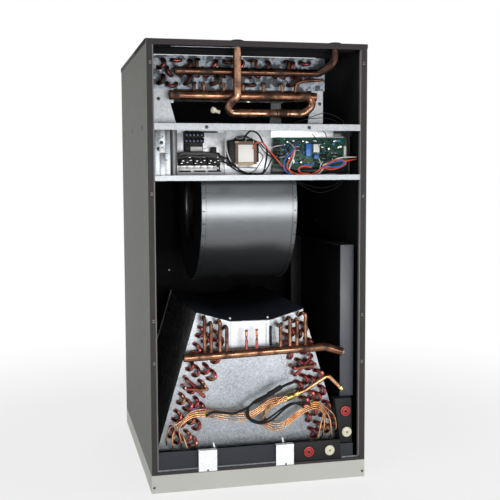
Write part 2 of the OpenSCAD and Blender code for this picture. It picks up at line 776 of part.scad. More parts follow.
module deck_rails() color([0.78, 0.79, 0.80])
    for (side = [-1, 1])
        mirror([side < 0 ? 1 : 0, 0, 0])
            rotate([90, 0, 0])
                translate([0, 0, -(back - sheet_t - liner_t - 1)])
                    linear_extrude(back - sheet_t - liner_t - 1 - tray_rear - 4)
                        polygon([[wall_x, under_deck], [wall_x - 24, under_deck],
                            [wall_x - 24, under_deck - 1.5], [wall_x - 1.5, under_deck - 1.5],
                            [wall_x - 1.5, under_deck - 30], [wall_x, under_deck - 30]]);

// Outline of the scroll from the cut-off round to the outlet, a set distance outside the sheet
function scroll_line(out) = concat([for (i = [0:3])
    let (arc = scroll_arcs[i], steps = round((arc[2] - arc[1]) / 5))
    for (k = [(i == 0 ? 0 : 1):steps])
        on_scroll(arc[0], mix(arc[2], arc[1], k / steps), out)], [outlet_front(out)]);
// Band that follows the scroll and its straight outlet wall at a set depth outside the sheet
module scroll_band(x, inner, outer) {
    plate_yz(x, concat(scroll_line(outer), backwards(scroll_line(inner))));
}

module scroll_sheet() color([0.75, 0.77, 0.80])
    scroll_band([housing_left + housing_t, housing_right - housing_t], 0, housing_t);

// Side of the housing: scroll outline, folded seam lip, top flange and rolled inlet ring
module housing_side(side) {
    plate = side < 0 ? [housing_left, housing_left + housing_t]
        : [housing_right - housing_t, housing_right];
    seam = side < 0 ? [housing_left, housing_left + lip_w] : [housing_right - lip_w, housing_right];
    rim = 2 * housing_t + 0.1;
    hole = inlet_r + bell_r;
    difference() {
        plate_yz(plate, concat(scroll_line(rim), [[cut_y, under_deck],
            [cut_y, on_scroll(0, cut_angle, rim)[1]]]));
        rod([plate[0] - 1, blower_y, axis_z], [plate[1] + 1, blower_y, axis_z], hole - 1);
    }
    scroll_band(seam, housing_t + 0.1, rim);
    flange = side < 0 ? [housing_left - 14, housing_left] : [housing_right, housing_right + 14];
    block(flange, [outlet_front(0)[0] + 2, cut_y - 2], [under_deck - housing_t, under_deck]);
    mouth = [for (a = [0:15:90]) hole - bell_r * sin(a)];
    depth = [for (a = [0:15:90]) bell_r * (1 - cos(a))];
    wall = [for (i = [0:6]) [mouth[i], depth[i]]];
    skin = [for (i = [6:-1:0]) [mouth[i] + housing_t * sin(15 * i), depth[i] + housing_t * cos(15 * i)]];
    translate([side < 0 ? housing_left : housing_right, blower_y, axis_z])
        rotate([0, -side * 90, 0])
            rotate_extrude()
                polygon(concat(wall, skin));
}

module left_housing_side() color([0.72, 0.74, 0.77]) housing_side(-1);

module right_housing_side() color([0.72, 0.74, 0.77]) housing_side(1);

module blower_cutoff() color([0.75, 0.77, 0.80]) {
    x = [housing_left + housing_t, housing_right - housing_t];
    z = on_scroll(0, cut_angle, 0)[1];
    block(x, [cut_y - housing_t, cut_y], [z - 4, under_deck]);
    rod([x[0], cut_y - 4, z - 4], [x[1], cut_y - 4, z - 4], 4);
}

// Forward-curved blades between two rims, with the drive disc in the middle
module blower_wheel() color([0.70, 0.72, 0.74]) {
    blade_root = inlet_r + 1;
    blade_tip = wheel_r - 2;
    curl = 9;
    thick = 1.5;
    steps = [0, 0.33, 0.67, 1];
    spread = thick / wheel_r * 57.3;
    front_edge = [for (s = steps) mix(blade_root, blade_tip, s)
        * [cos(curl * s * s), sin(curl * s * s)]];
    rear_edge = [for (i = [3:-1:0]) let (s = steps[i]) mix(blade_root, blade_tip, s)
        * [cos(curl * s * s + spread), sin(curl * s * s + spread)]];
    translate([blower_x, blower_y, axis_z])
        rotate([90, 0, 90]) {
            for (i = [0:blade_count - 1])
                rotate([0, 0, i * 360 / blade_count])
                    translate([0, 0, -wheel_w / 2])
                        linear_extrude(wheel_w)
                            polygon(concat(front_edge, rear_edge));
            for (z = [-wheel_w / 2, wheel_w / 2 - 3])
                translate([0, 0, z])
                    difference() {
                        cylinder(h = 3, r = wheel_r);
                        translate([0, 0, -1])
                            cylinder(h = 5, r = wheel_r - 9);
                    }
            difference() {
                union() {
                    translate([0, 0, -0.8])
                        cylinder(h = 1.6, r = blade_tip - 1);
                    translate([0, 0, -24])
                        cylinder(h = 25, r = 20);
                }
                translate([0, 0, -30])
                    cylinder(h = 40, r = shaft_r + shaft_gap);
            }
        }
}

motor_start = motor_end - motor_len;

module motor_shaft() color([0.60, 0.61, 0.62])
    rod([blower_x - 28, blower_y, axis_z], [motor_start + 26, blower_y, axis_z], shaft_r);

module motor_body() color([0.10, 0.10, 0.11])
    difference() {
        translate([motor_start, blower_y, axis_z])
            rotate([90, 0, 90])
                rotate_extrude()
                    polygon([[0, 0], [motor_r * 0.45, 0], [motor_r * 0.5, 6], [motor_r - 6, 10],
                        [motor_r, 18], [motor_r, motor_len - 12], [motor_r - 8, motor_len - 4],
                        [motor_r * 0.4, motor_len], [0, motor_len]]);
        rod([motor_start - 1, blower_y, axis_z], [motor_start + 27, blower_y, axis_z],
            shaft_r + shaft_gap);
    }

// Belly band round the motor with three arms out to the right side of the housing
module motor_bracket() color([0.75, 0.77, 0.80])
    translate([housing_right, blower_y, axis_z])
        rotate([90, 0, 90]) {
            difference() {
                translate([0, 0, -18])
                    cylinder(h = 24, r = motor_r + 2);
                translate([0, 0, -19])
                    cylinder(h = 26, r = motor_r + 0.1);
            }
            for (a = [90, 210, 330])
                rotate([0, 0, a])
                    translate([motor_r + 0.6, -9, 0])
                        cube([inlet_r + bell_r + 22 - motor_r, 18, 3]);
        }

// Folded tray with its end plate, switch hole and the white plate that carries the relays
module control_tray() color([0.80, 0.81, 0.82]) {
    t = deck_t;
    top = under_deck;
    difference() {
        plate_yz([-bay_x, bay_x], [[front, top], [front, top - tray_lip], [front + t, top - tray_lip],
            [front + t, top - t], [tray_rear - t, top - t], [tray_rear - t, tray_z + t],
            [front + t, tray_z + t], [front + t, tray_z + tray_foot], [front, tray_z + tray_foot],
            [front, tray_z], [tray_rear, tray_z], [tray_rear, top]]);
        for (x = [[114, 146], [232, 264], [-80, -48]])
            block(x, [front + 25, front + 55], [tray_z - 1, tray_z + t + 1]);
        block([-bay_x + 33, -bay_x + 69], [tray_rear - 2, tray_rear + 1], [tray_z + 30, top - 20]);
    }
    difference() {
        block([-bay_x, -bay_x + 44], [front + 10, front + 10 + t], [tray_z + t, top - t]);
        rod_y(switch_at, [front + 9, front + 12], switch_r + 1);
    }
    block([-224, -86], [plate_y, plate_y + t + touch], [tray_z + 12, top - 14]);
}

// Parts in the tray, their heights counted from its floor
module in_tray() {
    translate([0, 0, tray_z])
        children();
}

module terminal_block() color([0.08, 0.08, 0.09])
    in_tray() {
        block([-206, -152], [plate_y - 10, plate_y], [83.2, 140.2]);
        for (i = [0:2])
            block([-206, -152], [plate_y - 22 - 6 * i, plate_y - 10], [128.2 - 14 * i, 139.2 - 14 * i]);
        block([-194, -156], [plate_y - 16, plate_y - 10], [85.2, 97.2]);
    }

module relay_bank() color([0.10, 0.10, 0.11])
    in_tray() {
        block([-222, -100], [plate_y - 4, plate_y], [20.2, 81.2]);
        for (i = [0:2]) {
            block([-221 + 40 * i, -183 + 40 * i], [plate_y - 38, plate_y - 4], [42.2, 78.2]);
            for (x = [-214 + 40 * i, -202 + 40 * i, -190 + 40 * i])
                block([x - 3, x + 3], [plate_y - 44, plate_y - 38], [50.2, 51.2]);
        }
    }

module transformer() color([0.42, 0.26, 0.16])
    in_tray() {
        block([-78, -8], [plate_y - 30, plate_y + deck_t], [42.2, 116.2]);
        block([-70, -16], [plate_y - 46, plate_y - 30], [52.2, 106.2]);
    }

module cable_duct() color([0.06, 0.06, 0.06])
    rod([-bay_x + 58, front + 40, tray_z + deck_t], [-bay_x + 58, front + 40, under_deck - deck_t], 11);

module door_switch() color([0.90, 0.90, 0.88])
    difference() {
        union() {
            block([switch_at[0] - 7, switch_at[0] + 7], [front + 7, front + 10],
                [switch_at[1] - 7, switch_at[1] + 7]);
            block([switch_at[0] - 9, switch_at[0] + 9], [front + 10 + deck_t, front + 38],
                [switch_at[1] - 9, switch_at[1] + 9]);
            rod_y(switch_at, [front + 9, front + 12], switch_r + 0.9);
        }
        rod_y(switch_at, [front + 6, front + 29 + plunger_travel], switch_r + 0.1);
    }

module control_board() color([0.10, 0.40, 0.25])
    in_tray() {
        block([60, 284], [board_y - 1.6, board_y], [38.2, 124.2]);
        for (x = [68, 276])
            for (z = [46.2, 116.2])
                rod_y([x, z], [board_y, tray_rear - deck_t], 3);
        block([158, 174], [board_y - 22, board_y - 1.6], [68.2, 104.2]);
        block([182, 198], [board_y - 20, board_y - 1.6], [80.2, 104.2]);
        for (i = [0:5])
            block([66, 80], [board_y - 12, board_y - 1.6], [50.2 + 11 * i, 56.2 + 11 * i]);
        for (p = [[104, 66.2], [122, 56.2], [214, 96.2], [232, 68.2], [250, 50.2]])
            rod_y(p, [board_y - 14, board_y - 1.6], 5);
        block([274, 281], [board_y - 10, board_y - 1.6], [68.2, 98.2]);
    }

module switch_plunger() color([0.92, 0.92, 0.90])
    rod_y(switch_at, [front + 1, front + 28], switch_r);

relay_y = plate_y - 44;
wire_y = front + 36;
plug_y = board_y - 12.5;
coil_face = plate_y - 46.4;

module black_wires() color([0.04, 0.04, 0.04])
    in_tray() {
        y = wire_y;
        cord([[-110, relay_y - 0.3, 50.7], [-110, relay_y - 8, 50.2], [-94, y, 44.2], [-68, y, 32.2],
            [-40, y, 20.2], [-12, y, 15.2], [16, y, 18.2], [27, y, 44.2], [33, y, 81.2], [50, y + 8, 94.2],
            [68, board_y - 26, 85.2], [73, plug_y - 6, 85.2], [73, plug_y, 85.2]], 2);
        cord([[-150, relay_y - 0.3, 50.7], [-150, relay_y - 8, 54.2], [-120, y - 5, 64.2],
            [-92, y - 5, 56.2], [-66, y - 5, 36.2], [-40, y - 5, 25.2], [-20, y - 5, 27.2], [6, y - 5, 50.2],
            [24, y - 5, 68.2], [46, y - 2, 68.2], [66, board_y - 26, 63.2], [73, plug_y - 6, 63.2],
            [73, plug_y, 63.2]], 1.6);
        cord([[-30, coil_face, 102.2], [-30, coil_face - 8, 108.2], [-26, y - 9, 132.2], [-8, y - 9, 144.2],
            [10, y - 9, 136.2], [18, y - 9, 118.2], [30, y - 9, 98.2], [46, y - 4, 78.2],
            [68, board_y - 26, 74.2], [73, plug_y - 6, 74.2], [73, plug_y, 74.2]], 1.4);
        cord([[130, board_y - 0.8, 37.2], [130, board_y - 3, 22.2], [130, front + 44, 12.2],
            [128, front + 40, -2], [140, front + 40, -14], [164, front + 40, -24],
            [194, front + 40, -30], [222, front + 40, -24], [240, front + 40, -12],
            [248, front + 42, 4], [248, board_y - 3, 22.2], [248, board_y - 0.8, 37.2]], 1.4);
    }

module white_wires() color([0.90, 0.90, 0.88])
    in_tray() {
        y = wire_y - 13;
        cord([[-164, plate_y - 16.4, 91.2], [-164, plate_y - 26, 92.2], [-140, y + 8, 98.2],
            [-112, y, 104.2], [-86, y, 112.2], [-70, y, 130.2], [-56, y, 120.2], [-44, y + 4, 100.2],
            [-44, coil_face - 8, 92.2], [-44, coil_face, 92.2]], 1.4);
        cord([[214, board_y - 14.4, 96.2], [214, board_y - 24, 92.2], [206, y + 4, 66.2],
            [198, y + 4, 42.2], [210, y + 4, 38.2], [232, y + 4, 48.2], [246, y + 4, 56.2],
            [262, y + 3, 59.2], [280, y + 2, 61.2], [bay_x - 0.4, y, 61.2]], 1.4);
    }

module signal_wires() color([0.85, 0.16, 0.10])
    in_tray() {
        y = wire_y - 17;
        cord([[-24, coil_face, 96.2], [-24, coil_face - 10, 98.2], [-4, y, 107.2], [18, y, 106.2],
            [36, y, 87.2], [57, y, 64.2], [80, y, 40.2], [104, y, 24.2], [130, y, 18.2], [164, y, 18.2],
            [194, y, 34.2], [222, y, 54.2], [246, y, 64.2], [262, y + 10, 76.2], [277, board_y - 22, 82.2],
            [277, board_y - 10.4, 82.2]], 1.4);
        cord([[122, board_y - 14.4, 56.2], [122, board_y - 26, 60.2], [108, y - 4, 72.2],
            [96, y - 4, 56.2], [92, y - 4, 36.2], [108, y - 4, 24.2], [136, y - 4, 21.2],
            [170, y - 4, 24.2], [200, y - 4, 36.2], [226, y - 4, 44.2], [246, y + 6, 48.2],
            [250, board_y - 26, 50.2], [250, board_y - 14.4, 50.2]], 1.4);
    }

// Fin block of the flat coil, ribbed on its top and underside
module heat_coil_fins() color([0.35, 0.33, 0.33]) {
    depth = heat_d - 2 * plate_t;
    ribs = floor((depth - fin_pitch) / fin_pitch);
    lead = (depth - ribs * fin_pitch) / 2;
    notch = fin_pitch * 0.3;
    top = [for (i = [0:ribs - 1]) let (y = lead + (i + 0.5) * fin_pitch)
        each [[y - notch, heat_h - 2], [y, heat_h - 2 - fin_groove], [y + notch, heat_h - 2]]];
    foot = [for (i = [ribs - 1:-1:0]) let (y = lead + (i + 0.5) * fin_pitch)
        each [[y + notch, 2], [y, 2 + fin_groove], [y - notch, 2]]];
    translate([0, heat_front + plate_t, heat_z])
        plate_yz([heat_left, heat_right], concat([[0, 2], [0, heat_h - 2]], top,
            [[depth, heat_h - 2], [depth, 2]], foot));
}

module heat_tube_sheets() color([0.78, 0.79, 0.80])
    for (y = [heat_front, heat_rear - plate_t])
        block([heat_left, heat_right], [y, y + plate_t], [heat_z, heat_z + heat_h]);

// Lower header with its stubs, the loop at its right end, the crossing run and the riser
module heat_supply() {
    loop_x = heat_right - 20;
    rod([heat_left + 48, header_y, supply_z], [heat_right - 50, header_y, supply_z], supply_r);
    pipe([[heat_right - 53, header_y, supply_z], [loop_x, header_y, supply_z], [loop_x, header_y, run_z],
        run_corner, [riser_x, pipe_y, run_z + 45], [riser_x, pipe_y, cab_h + 3]],
        riser_r, run_bend);
    for (j = supply_stubs) {
        p = heat_tube(0, j);
        pipe([[p[0], header_y, supply_z], [p[0], header_y, p[1]], [p[0], heat_front, p[1]]], tube_r, 8);
    }
}

// Upper header with its stubs and the bend up to the second grommet
module heat_outlet() {
    pipe([[heat_left + 86, header_y, outlet_z], [heat_right - 35, header_y, outlet_z],
        [outlet_x, pipe_y, outlet_z + 26],
        [outlet_x, pipe_y, cab_h + 3]], outlet_r, 18);
    for (j = outlet_stubs) {
        p = heat_tube(3, j);
        pipe([[p[0], header_y, outlet_z], [p[0], header_y, p[1]], [p[0], heat_front, p[1]]], tube_r, 8);
    }
}

module heat_bends() {
    for (j = [0:heat_cols - 1])
        for (bank = [0, 2])
            if (len(search(j, bank == 0 ? supply_stubs : outlet_stubs)) == 0)
                return_bend(heat_tube(bank, j), heat_tube(bank + 1, j), heat_front);
}

module heat_coil_pipes() color([0.72, 0.42, 0.28]) {
    heat_supply();
    heat_outlet();
    heat_bends();
}

// Legs that carry the coil on the deck, each with a shelf under the coil and a foot
module heat_coil_brackets() color([0.78, 0.79, 0.80]) {
    t = 1.5;
    left = [[heat_left, 0], [heat_left, heat_rise], [heat_left + 62, heat_rise],
        [heat_left + 62, 60], [heat_left + 53, 60], [heat_left + 69, 0]];
    right = [[heat_right - 41, 60], [heat_right - 41, heat_rise], [heat_right - 5, heat_rise],
        [heat_right - 5, 0], [heat_right - 53, 0]];
    for (y = [heat_front, heat_rear - t])
        for (leg = [[left, heat_left, heat_left + 62, heat_left + 69],
            [right, heat_right - 41, heat_right - 5, heat_right - 5]]) {
            inward = y == heat_front ? [y, y + 26] : [y + t - 26, y + t];
            plate_xz([y, y + t], [for (p = leg[0]) [p[0], deck_z + p[1]]]);
            block([leg[1], leg[2]], inward, [heat_z - t, heat_z]);
            block([leg[1], leg[3]], inward, [deck_z, deck_z + t]);
        }
}

module heat_coil_channel() color([0.06, 0.06, 0.06])
    plate_yz([heat_left + 70, heat_right - 55], [[heat_front + 2, heat_z], [heat_front + 2, heat_z - 32],
        [heat_front + 14, heat_z - 32], [heat_front + 14, heat_z - 30.5], [heat_front + 3.5, heat_z - 30.5],
        [heat_front + 3.5, heat_z - 1.5], [heat_front + 30, heat_z - 1.5], [heat_front + 30, heat_z]]);

// Bleed plug on a short spigot at the foot of the riser
module vent_plug() color([0.85, 0.80, 0.62]) {
    u = [-1, 0, 0];
    v = unit([riser_x, pipe_y, run_z + 45] - run_corner);
    bend_middle = run_corner + run_bend * (unit(v - (u * v) * u) - u * tan(angle_between(u, v) / 2));
    foot = bend_middle + (run_bend + riser_r + 0.2) * u;
    rod(foot, foot + 18 * u, 5);
    along(foot + 18 * u, foot + 28 * u)
        cylinder(h = 10, r = 9, $fn = 6);
}

base_frame();
floor_deck();
left_side_panel();
right_side_panel();
back_panel();
top_panel();
door_posts();
door_rails();
door_lips();
side_liners();
back_liner();
top_liner();
pipe_grommets();
top_edge_strip();
cabinet_screws();
left_coil_fins();
right_coil_fins();
coil_tube_sheets();
coil_return_bends();
coil_top_cap();
delta_plates();
centre_plate();
suction_header();
distributor();
capillary_tubes();
liquid_line();
sensor_lead();
drain_pan();
side_drain_pan();
port_blocks();
red_drain_plugs();
cream_drain_plugs();
pan_clips();
blower_deck();
deck_rails();
scroll_sheet();
left_housing_side();
right_housing_side();
blower_cutoff();
blower_wheel();
motor_shaft();
motor_body();
motor_bracket();
control_tray();
terminal_block();
relay_bank();
transformer();
cable_duct();
control_board();
door_switch();
switch_plunger();
black_wires();
white_wires();
signal_wires();
heat_coil_fins();
heat_tube_sheets();
heat_coil_pipes();
heat_coil_brackets();
heat_coil_channel();
vent_plug();
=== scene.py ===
import math
import random

import bmesh
import bpy
from mathutils import Matrix, Vector


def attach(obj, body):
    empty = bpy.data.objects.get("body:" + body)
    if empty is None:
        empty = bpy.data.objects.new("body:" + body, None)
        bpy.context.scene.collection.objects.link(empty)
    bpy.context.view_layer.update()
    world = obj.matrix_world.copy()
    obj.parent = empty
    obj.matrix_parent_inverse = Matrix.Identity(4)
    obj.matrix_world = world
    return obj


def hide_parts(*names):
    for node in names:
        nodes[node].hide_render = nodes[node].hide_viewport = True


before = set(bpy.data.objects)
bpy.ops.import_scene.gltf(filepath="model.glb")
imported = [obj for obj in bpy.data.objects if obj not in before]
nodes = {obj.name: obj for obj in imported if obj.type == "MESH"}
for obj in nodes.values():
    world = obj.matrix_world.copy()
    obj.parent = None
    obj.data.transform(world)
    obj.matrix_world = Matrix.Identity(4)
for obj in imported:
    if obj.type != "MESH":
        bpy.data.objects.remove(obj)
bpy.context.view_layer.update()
random.seed(11)

# A slab of the cooling coil, in millimetres and in the frame of the construction
slab = {"middle": -18, "lean": math.radians(16.5), "apexHalf": 61, "apexHeight": 481,
        "length": 414, "thick": 104, "front": -330, "rear": 200, "pitch": 25.4, "rowGap": 22,
        "rows": 4, "tubes": 16, "ripple": 6.35}


# A place in millimetres, turned into Blender's metres
def at(x, y, z):
    return Vector((x, y, z)) * 0.001


# A point of a slab's face: side is -1 for the left slab and 1 for the right one
def slabPoint(side, across, down):
    lean = slab["lean"]
    x = slab["middle"] + side * (slab["apexHalf"] + across * math.cos(lean) + down * math.sin(lean))
    return x, slab["apexHeight"] + across * math.sin(lean) - down * math.cos(lean)


def slabTube(side, row, j):
    margin = (slab["thick"] - (slab["rows"] - 1) * slab["rowGap"]) / 2
    return slabPoint(side, slab["thick"] - margin - row * slab["rowGap"],
                     slab["pitch"] * (0.5 + j + (row % 2) / 2))


# Modelling by hand: nothing stays selected, and each piece ends at the origin
def release():
    if bpy.context.object and bpy.context.object.mode != "OBJECT":
        bpy.ops.object.mode_set(mode="OBJECT")
    bpy.ops.object.select_all(action="DESELECT")


def pick(piece):
    release()
    piece.select_set(True)
    bpy.context.view_layer.objects.active = piece


def settle(piece):
    pick(piece)
    bpy.ops.object.transform_apply(location=True, rotation=True, scale=True)
    for modifier in list(piece.modifiers):
        bpy.ops.object.modifier_apply(modifier=modifier.name)
    return piece


def roundEdges(piece, width, segments=2, angle=30):
    bevel = piece.modifiers.new("edges", "BEVEL")
    bevel.width = width * 0.001
    bevel.segments = segments
    bevel.limit_method = "ANGLE"
    bevel.angle_limit = math.radians(angle)
    return settle(piece)


def block(low, high, edge=0.5, segments=2):
    release()
    middle = [(a + b) / 2 for a, b in zip(low, high)]
    bpy.ops.mesh.primitive_cube_add(size=0.001, location=at(*middle))
    piece = bpy.context.object
    piece.scale = [b - a for a, b in zip(low, high)]
    settle(piece)
    return roundEdges(piece, edge, segments) if edge else piece


def rod(start, end, radius, edge=0.4, sides=24, tip=None):
    release()
    a, b = at(*start), at(*end)
    bpy.ops.mesh.primitive_cone_add(vertices=sides, radius1=radius * 0.001,
                                    radius2=(radius if tip is None else tip) * 0.001,
                                    depth=(b - a).length, location=(a + b) / 2)
    piece = bpy.context.object
    piece.rotation_mode = "QUATERNION"
    piece.rotation_quaternion = (b - a).to_track_quat("Z", "Y")
    settle(piece)
    return roundEdges(piece, edge, 2, 40) if edge else piece


def ring(centre, axis, radius, thick):
    release()
    bpy.ops.mesh.primitive_torus_add(major_radius=radius * 0.001, minor_radius=thick * 0.001,
                                     major_segments=20, minor_segments=6, location=at(*centre))
    piece = bpy.context.object
    piece.rotation_mode = "QUATERNION"
    piece.rotation_quaternion = Vector(axis).to_track_quat("Z", "Y")
    return settle(piece)


# Path along the points with round corners of one bend radius
def bendCorners(points, bend, steps=7):
    points = [at(*p) for p in points]
    bend = bend * 0.001
    path = [points[0]]
    for before, corner, after in zip(points, points[1:], points[2:]):
        u = (corner - before).normalized()
        v = (after - corner).normalized()
        turn = u.angle(v)
        side = (v - u * u.dot(v)).normalized()
        start = corner - u * bend * math.tan(turn / 2)
        centre = start + side * bend
        path += [centre - side * bend * math.cos(turn * k / steps)
                 + u * bend * math.sin(turn * k / steps) for k in range(steps + 1)]
    return path + [points[-1]]


# Smooth path through all the points
def easeThrough(points, steps=6):
    points = [at(*p) for p in points]
    last = len(points) - 1
    path = []
    for i in range(last):
        a, b = points[max(i - 1, 0)], points[i]
        c, d = points[i + 1], points[min(i + 2, last)]
        for s in range(steps):
            t = s / steps
            path.append(0.5 * (2 * b + (c - a) * t + (2 * a - 5 * b + 4 * c - d) * t * t
                               + (3 * b - a - 3 * c + d) * t ** 3))
    return path + [points[-1]]


def tube(path, radius, roundness=3):
    curve = bpy.data.curves.new("tube", "CURVE")
    curve.dimensions = "3D"
    curve.bevel_depth = radius * 0.001
    curve.bevel_resolution = roundness
    curve.use_fill_caps = True
    spline = curve.splines.new("POLY")
    spline.points.add(len(path) - 1)
    for point, place in zip(spline.points, path):
        point.co = (*place, 1)
    piece = bpy.data.objects.new("tube", curve)
    bpy.context.collection.objects.link(piece)
    pick(piece)
    bpy.ops.object.convert(target="MESH")
    piece = bpy.context.object
    bpy.ops.object.shade_smooth_by_angle(angle=math.radians(50))
    return piece


def shape(points, faces, edges=()):
    mesh = bpy.data.meshes.new("shape")
    mesh.from_pydata([at(*p) for p in points], edges, faces)
    piece = bpy.data.objects.new("shape", mesh)
    bpy.context.collection.objects.link(piece)
    return piece


# Four corners (x, z) carried from one depth to another
def wedge(corners, near, far):
    return shape([(x, y, z) for y in (near, far) for x, z in corners],
                 [(0, 1, 2, 3), (7, 6, 5, 4), (0, 4, 5, 1), (1, 5, 6, 2), (2, 6, 7, 3), (3, 7, 4, 0)])


def faceOut(piece):
    pick(piece)
    bpy.ops.object.mode_set(mode="EDIT")
    bpy.ops.mesh.select_all(action="SELECT")
    bpy.ops.mesh.normals_make_consistent(inside=False)
    bpy.ops.object.mode_set(mode="OBJECT")
    return piece


def joinAll(pieces):
    release()
    for piece in pieces:
        piece.select_set(True)
    bpy.context.view_layer.objects.active = pieces[0]
    bpy.ops.object.join()
    return bpy.context.object


# Copies of one model at many places, each with its own mesh, as one piece
def copies(model, places):
    whole = bmesh.new()
    for place in places:
        mesh = model.data.copy()
        mesh.transform(place)
        whole.from_mesh(mesh)
        bpy.data.meshes.remove(mesh)
    mesh = bpy.data.meshes.new("copies")
    whole.to_mesh(mesh)
    whole.free()
    for material in model.data.materials:
        mesh.materials.append(material)
    piece = bpy.data.objects.new("copies", mesh)
    bpy.context.collection.objects.link(piece)
    bpy.data.objects.remove(model)
    return piece


def move(x, y, z):
    return Matrix.Translation(at(x, y, z))


def tint(piece, paint):
    piece.data.materials.clear()
    piece.data.materials.append(finish[paint])


# Names and paints a finished piece, hangs it on the cabinet's body and hides the nodes it stands for
def dress(piece, name, paint, instead=(), angle=35):
    pick(piece)
    if angle:
        bpy.ops.object.shade_smooth_by_angle(angle=math.radians(angle))
    piece.name = name
    piece.data.name = name
    tint(piece, paint)
    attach(piece, "cabinet")
    if instead:
        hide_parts(*instead)


class Field:  # a value on the surface that takes part in sums written as plain Python
    def __init__(self, paint, socket):
        self.paint, self.socket = paint, socket

    def combine(self, operation, other, swapped=False):
        pair = {0: other, 1: self} if swapped else {0: self, 1: other}
        return self.paint.add("Math", {"operation": operation}, pair)

    def __add__(self, other):
        return self.combine("ADD", other)

    def __sub__(self, other):
        return self.combine("SUBTRACT", other)

    def __rsub__(self, other):
        return self.combine("SUBTRACT", other, True)

    def __mul__(self, other):
        return self.combine("MULTIPLY", other)

    def __truediv__(self, other):
        return self.combine("DIVIDE", other)

    def __pow__(self, other):
        return self.combine("POWER", other)

    def __gt__(self, other):
        return self.combine("GREATER_THAN", other)

    __radd__ = __add__
    __rmul__ = __mul__


class Paint:  # one material and its nodes
    def __init__(self, name, metallic=0.0, roughness=0.5, **fixed):
        self.material = bpy.data.materials.new(name)
        self.material.use_nodes = True
        self.tree = self.material.node_tree
        self.shader = self.tree.nodes["Principled BSDF"]
        self.set("Metallic", metallic)
        self.set("Roughness", roughness)
        for socket, value in fixed.items():
            self.set(socket.replace("_", " "), value)
        self.object = self.add("TexCoord", out="Object")
        self.apart = self.add("SeparateXYZ", {}, {0: self.object}, out=None)

    def add(self, kind, settings={}, values={}, out=0):
        made = self.tree.nodes.new("ShaderNode" + kind)
        for key, value in settings.items():
            if key == "stops":
                stops = made.color_ramp.elements
                while len(stops) < len(value):
                    stops.new(0.5)
                for stop, (place, colour) in zip(stops, value):
                    stop.position = place
                    stop.color = (*colour, 1)
            else:
                setattr(made, key, value)
        for key, value in values.items():
            self.feed(made.inputs[key], value)
        return made if out is None else Field(self, made.outputs[out])

    def feed(self, socket, value):
        if isinstance(value, Field):
            self.tree.links.new(value.socket, socket)
        elif isinstance(value, tuple) and len(value) == 3 and socket.type == "RGBA":
            socket.default_value = (*value, 1)
        else:
            socket.default_value = value

    def set(self, socket, value):
        self.feed(self.shader.inputs[socket], value)

    def along(self, axis):
        return Field(self, self.apart.outputs["XYZ".index(axis)])

    def stretch(self, x, y, z):
        return self.add("VectorMath", {"operation": "MULTIPLY"}, {0: self.object, 1: (x, y, z)})

    def noise(self, scale, detail=3.0, vector=None, rough=0.55):
        return self.add("TexNoise", {}, {"Vector": vector or self.object, "Scale": scale,
                                         "Detail": detail, "Roughness": rough})

    def cells(self, scale, vector=None, out="Color"):
        return self.add("TexVoronoi", {}, {"Vector": vector or self.object, "Scale": scale}, out=out)

    def ramp(self, value, *stops):
        return self.add("ValToRGB", {"stops": stops}, {0: value})

    def step(self, value, low, high):
        return self.add("MapRange", {"interpolation_type": "SMOOTHSTEP"},
                        {"Value": value, "From Min": low, "From Max": high})

    def blend(self, factor, a, b):
        made = self.add("Mix", {"data_type": "RGBA"}, out=None)
        self.feed(made.inputs[0], factor)
        self.feed(made.inputs[6], a)
        self.feed(made.inputs[7], b)
        return Field(self, made.outputs[2])

    def bump(self, height, depth, strength=1.0):
        self.set("Normal", self.add("Bump", {}, {"Height": height, "Distance": depth * 0.001,
                                                 "Strength": strength}))


# Zinc crystals of the spangle's size in millimetres, under a fine grain
def galvanised(name, dark, light, spangle, rough):
    paint = Paint(name, metallic=1.0, roughness=rough)
    crystal = paint.cells(1000 / spangle)
    fine = paint.cells(2600 / spangle)
    cloud = paint.noise(9, 4)
    grain = paint.noise(700, 2)
    share = crystal * 0.5 + fine * 0.3 + cloud * 0.45 + grain * 0.2 - 0.22
    paint.set("Base Color", paint.blend(share, dark, light))
    paint.set("Roughness", rough - 0.08 + crystal * 0.1 + grain * 0.12)
    paint.bump(crystal * 0.4 + grain, 0.06, 0.5)
    return paint.material


# Sheet brushed along X by its rolling
def rolledSheet(name):
    paint = Paint(name, metallic=0.85, roughness=0.24)
    cloud = paint.noise(7, 4)
    grain = paint.noise(170, 2, paint.stretch(0.05, 1, 1))
    paint.set("Base Color", paint.blend(cloud * 0.7 + grain * 0.3,
                                        (0.13, 0.137, 0.144), (0.205, 0.214, 0.223)))
    paint.set("Roughness", 0.25 + grain * 0.08)
    paint.bump(grain, 0.012, 0.4)
    return paint.material


# Zinc sheet with dark patches between the bends: painted shadow of the bends, with some soot
def shadedZinc(name):
    paint = Paint(name, metallic=1.0, roughness=0.34)
    crystal = paint.cells(200)
    # dark patches: painted shadow of the bends, with some soot
    bendShadowAndSoot = paint.step(paint.noise(42, 3), 0.44, 0.56)
    zinc = paint.blend(crystal, (0.15, 0.17, 0.2), (0.31, 0.345, 0.38))
    paint.set("Base Color", paint.blend(bendShadowAndSoot * 0.8, zinc, (0.03, 0.032, 0.036)))
    paint.set("Roughness", 0.28 + bendShadowAndSoot * 0.3)
    paint.bump(crystal, 0.05, 0.5)
    return paint.material


def enamel(name, colour, shade, rough=0.42, peel=0.05, **fixed):
    paint = Paint(name, roughness=rough, **fixed)
    cloud = paint.noise(5, 3)
    speck = paint.noise(420, 2)
    wear = paint.noise(38, 5, rough=0.7)
    paint.set("Base Color", paint.blend(cloud * 0.6 + speck * 0.25, colour, shade))
    paint.set("Roughness", rough - 0.06 + wear * 0.14)
    paint.bump(speck + wear * 0.3, peel, 0.6)
    return paint.material


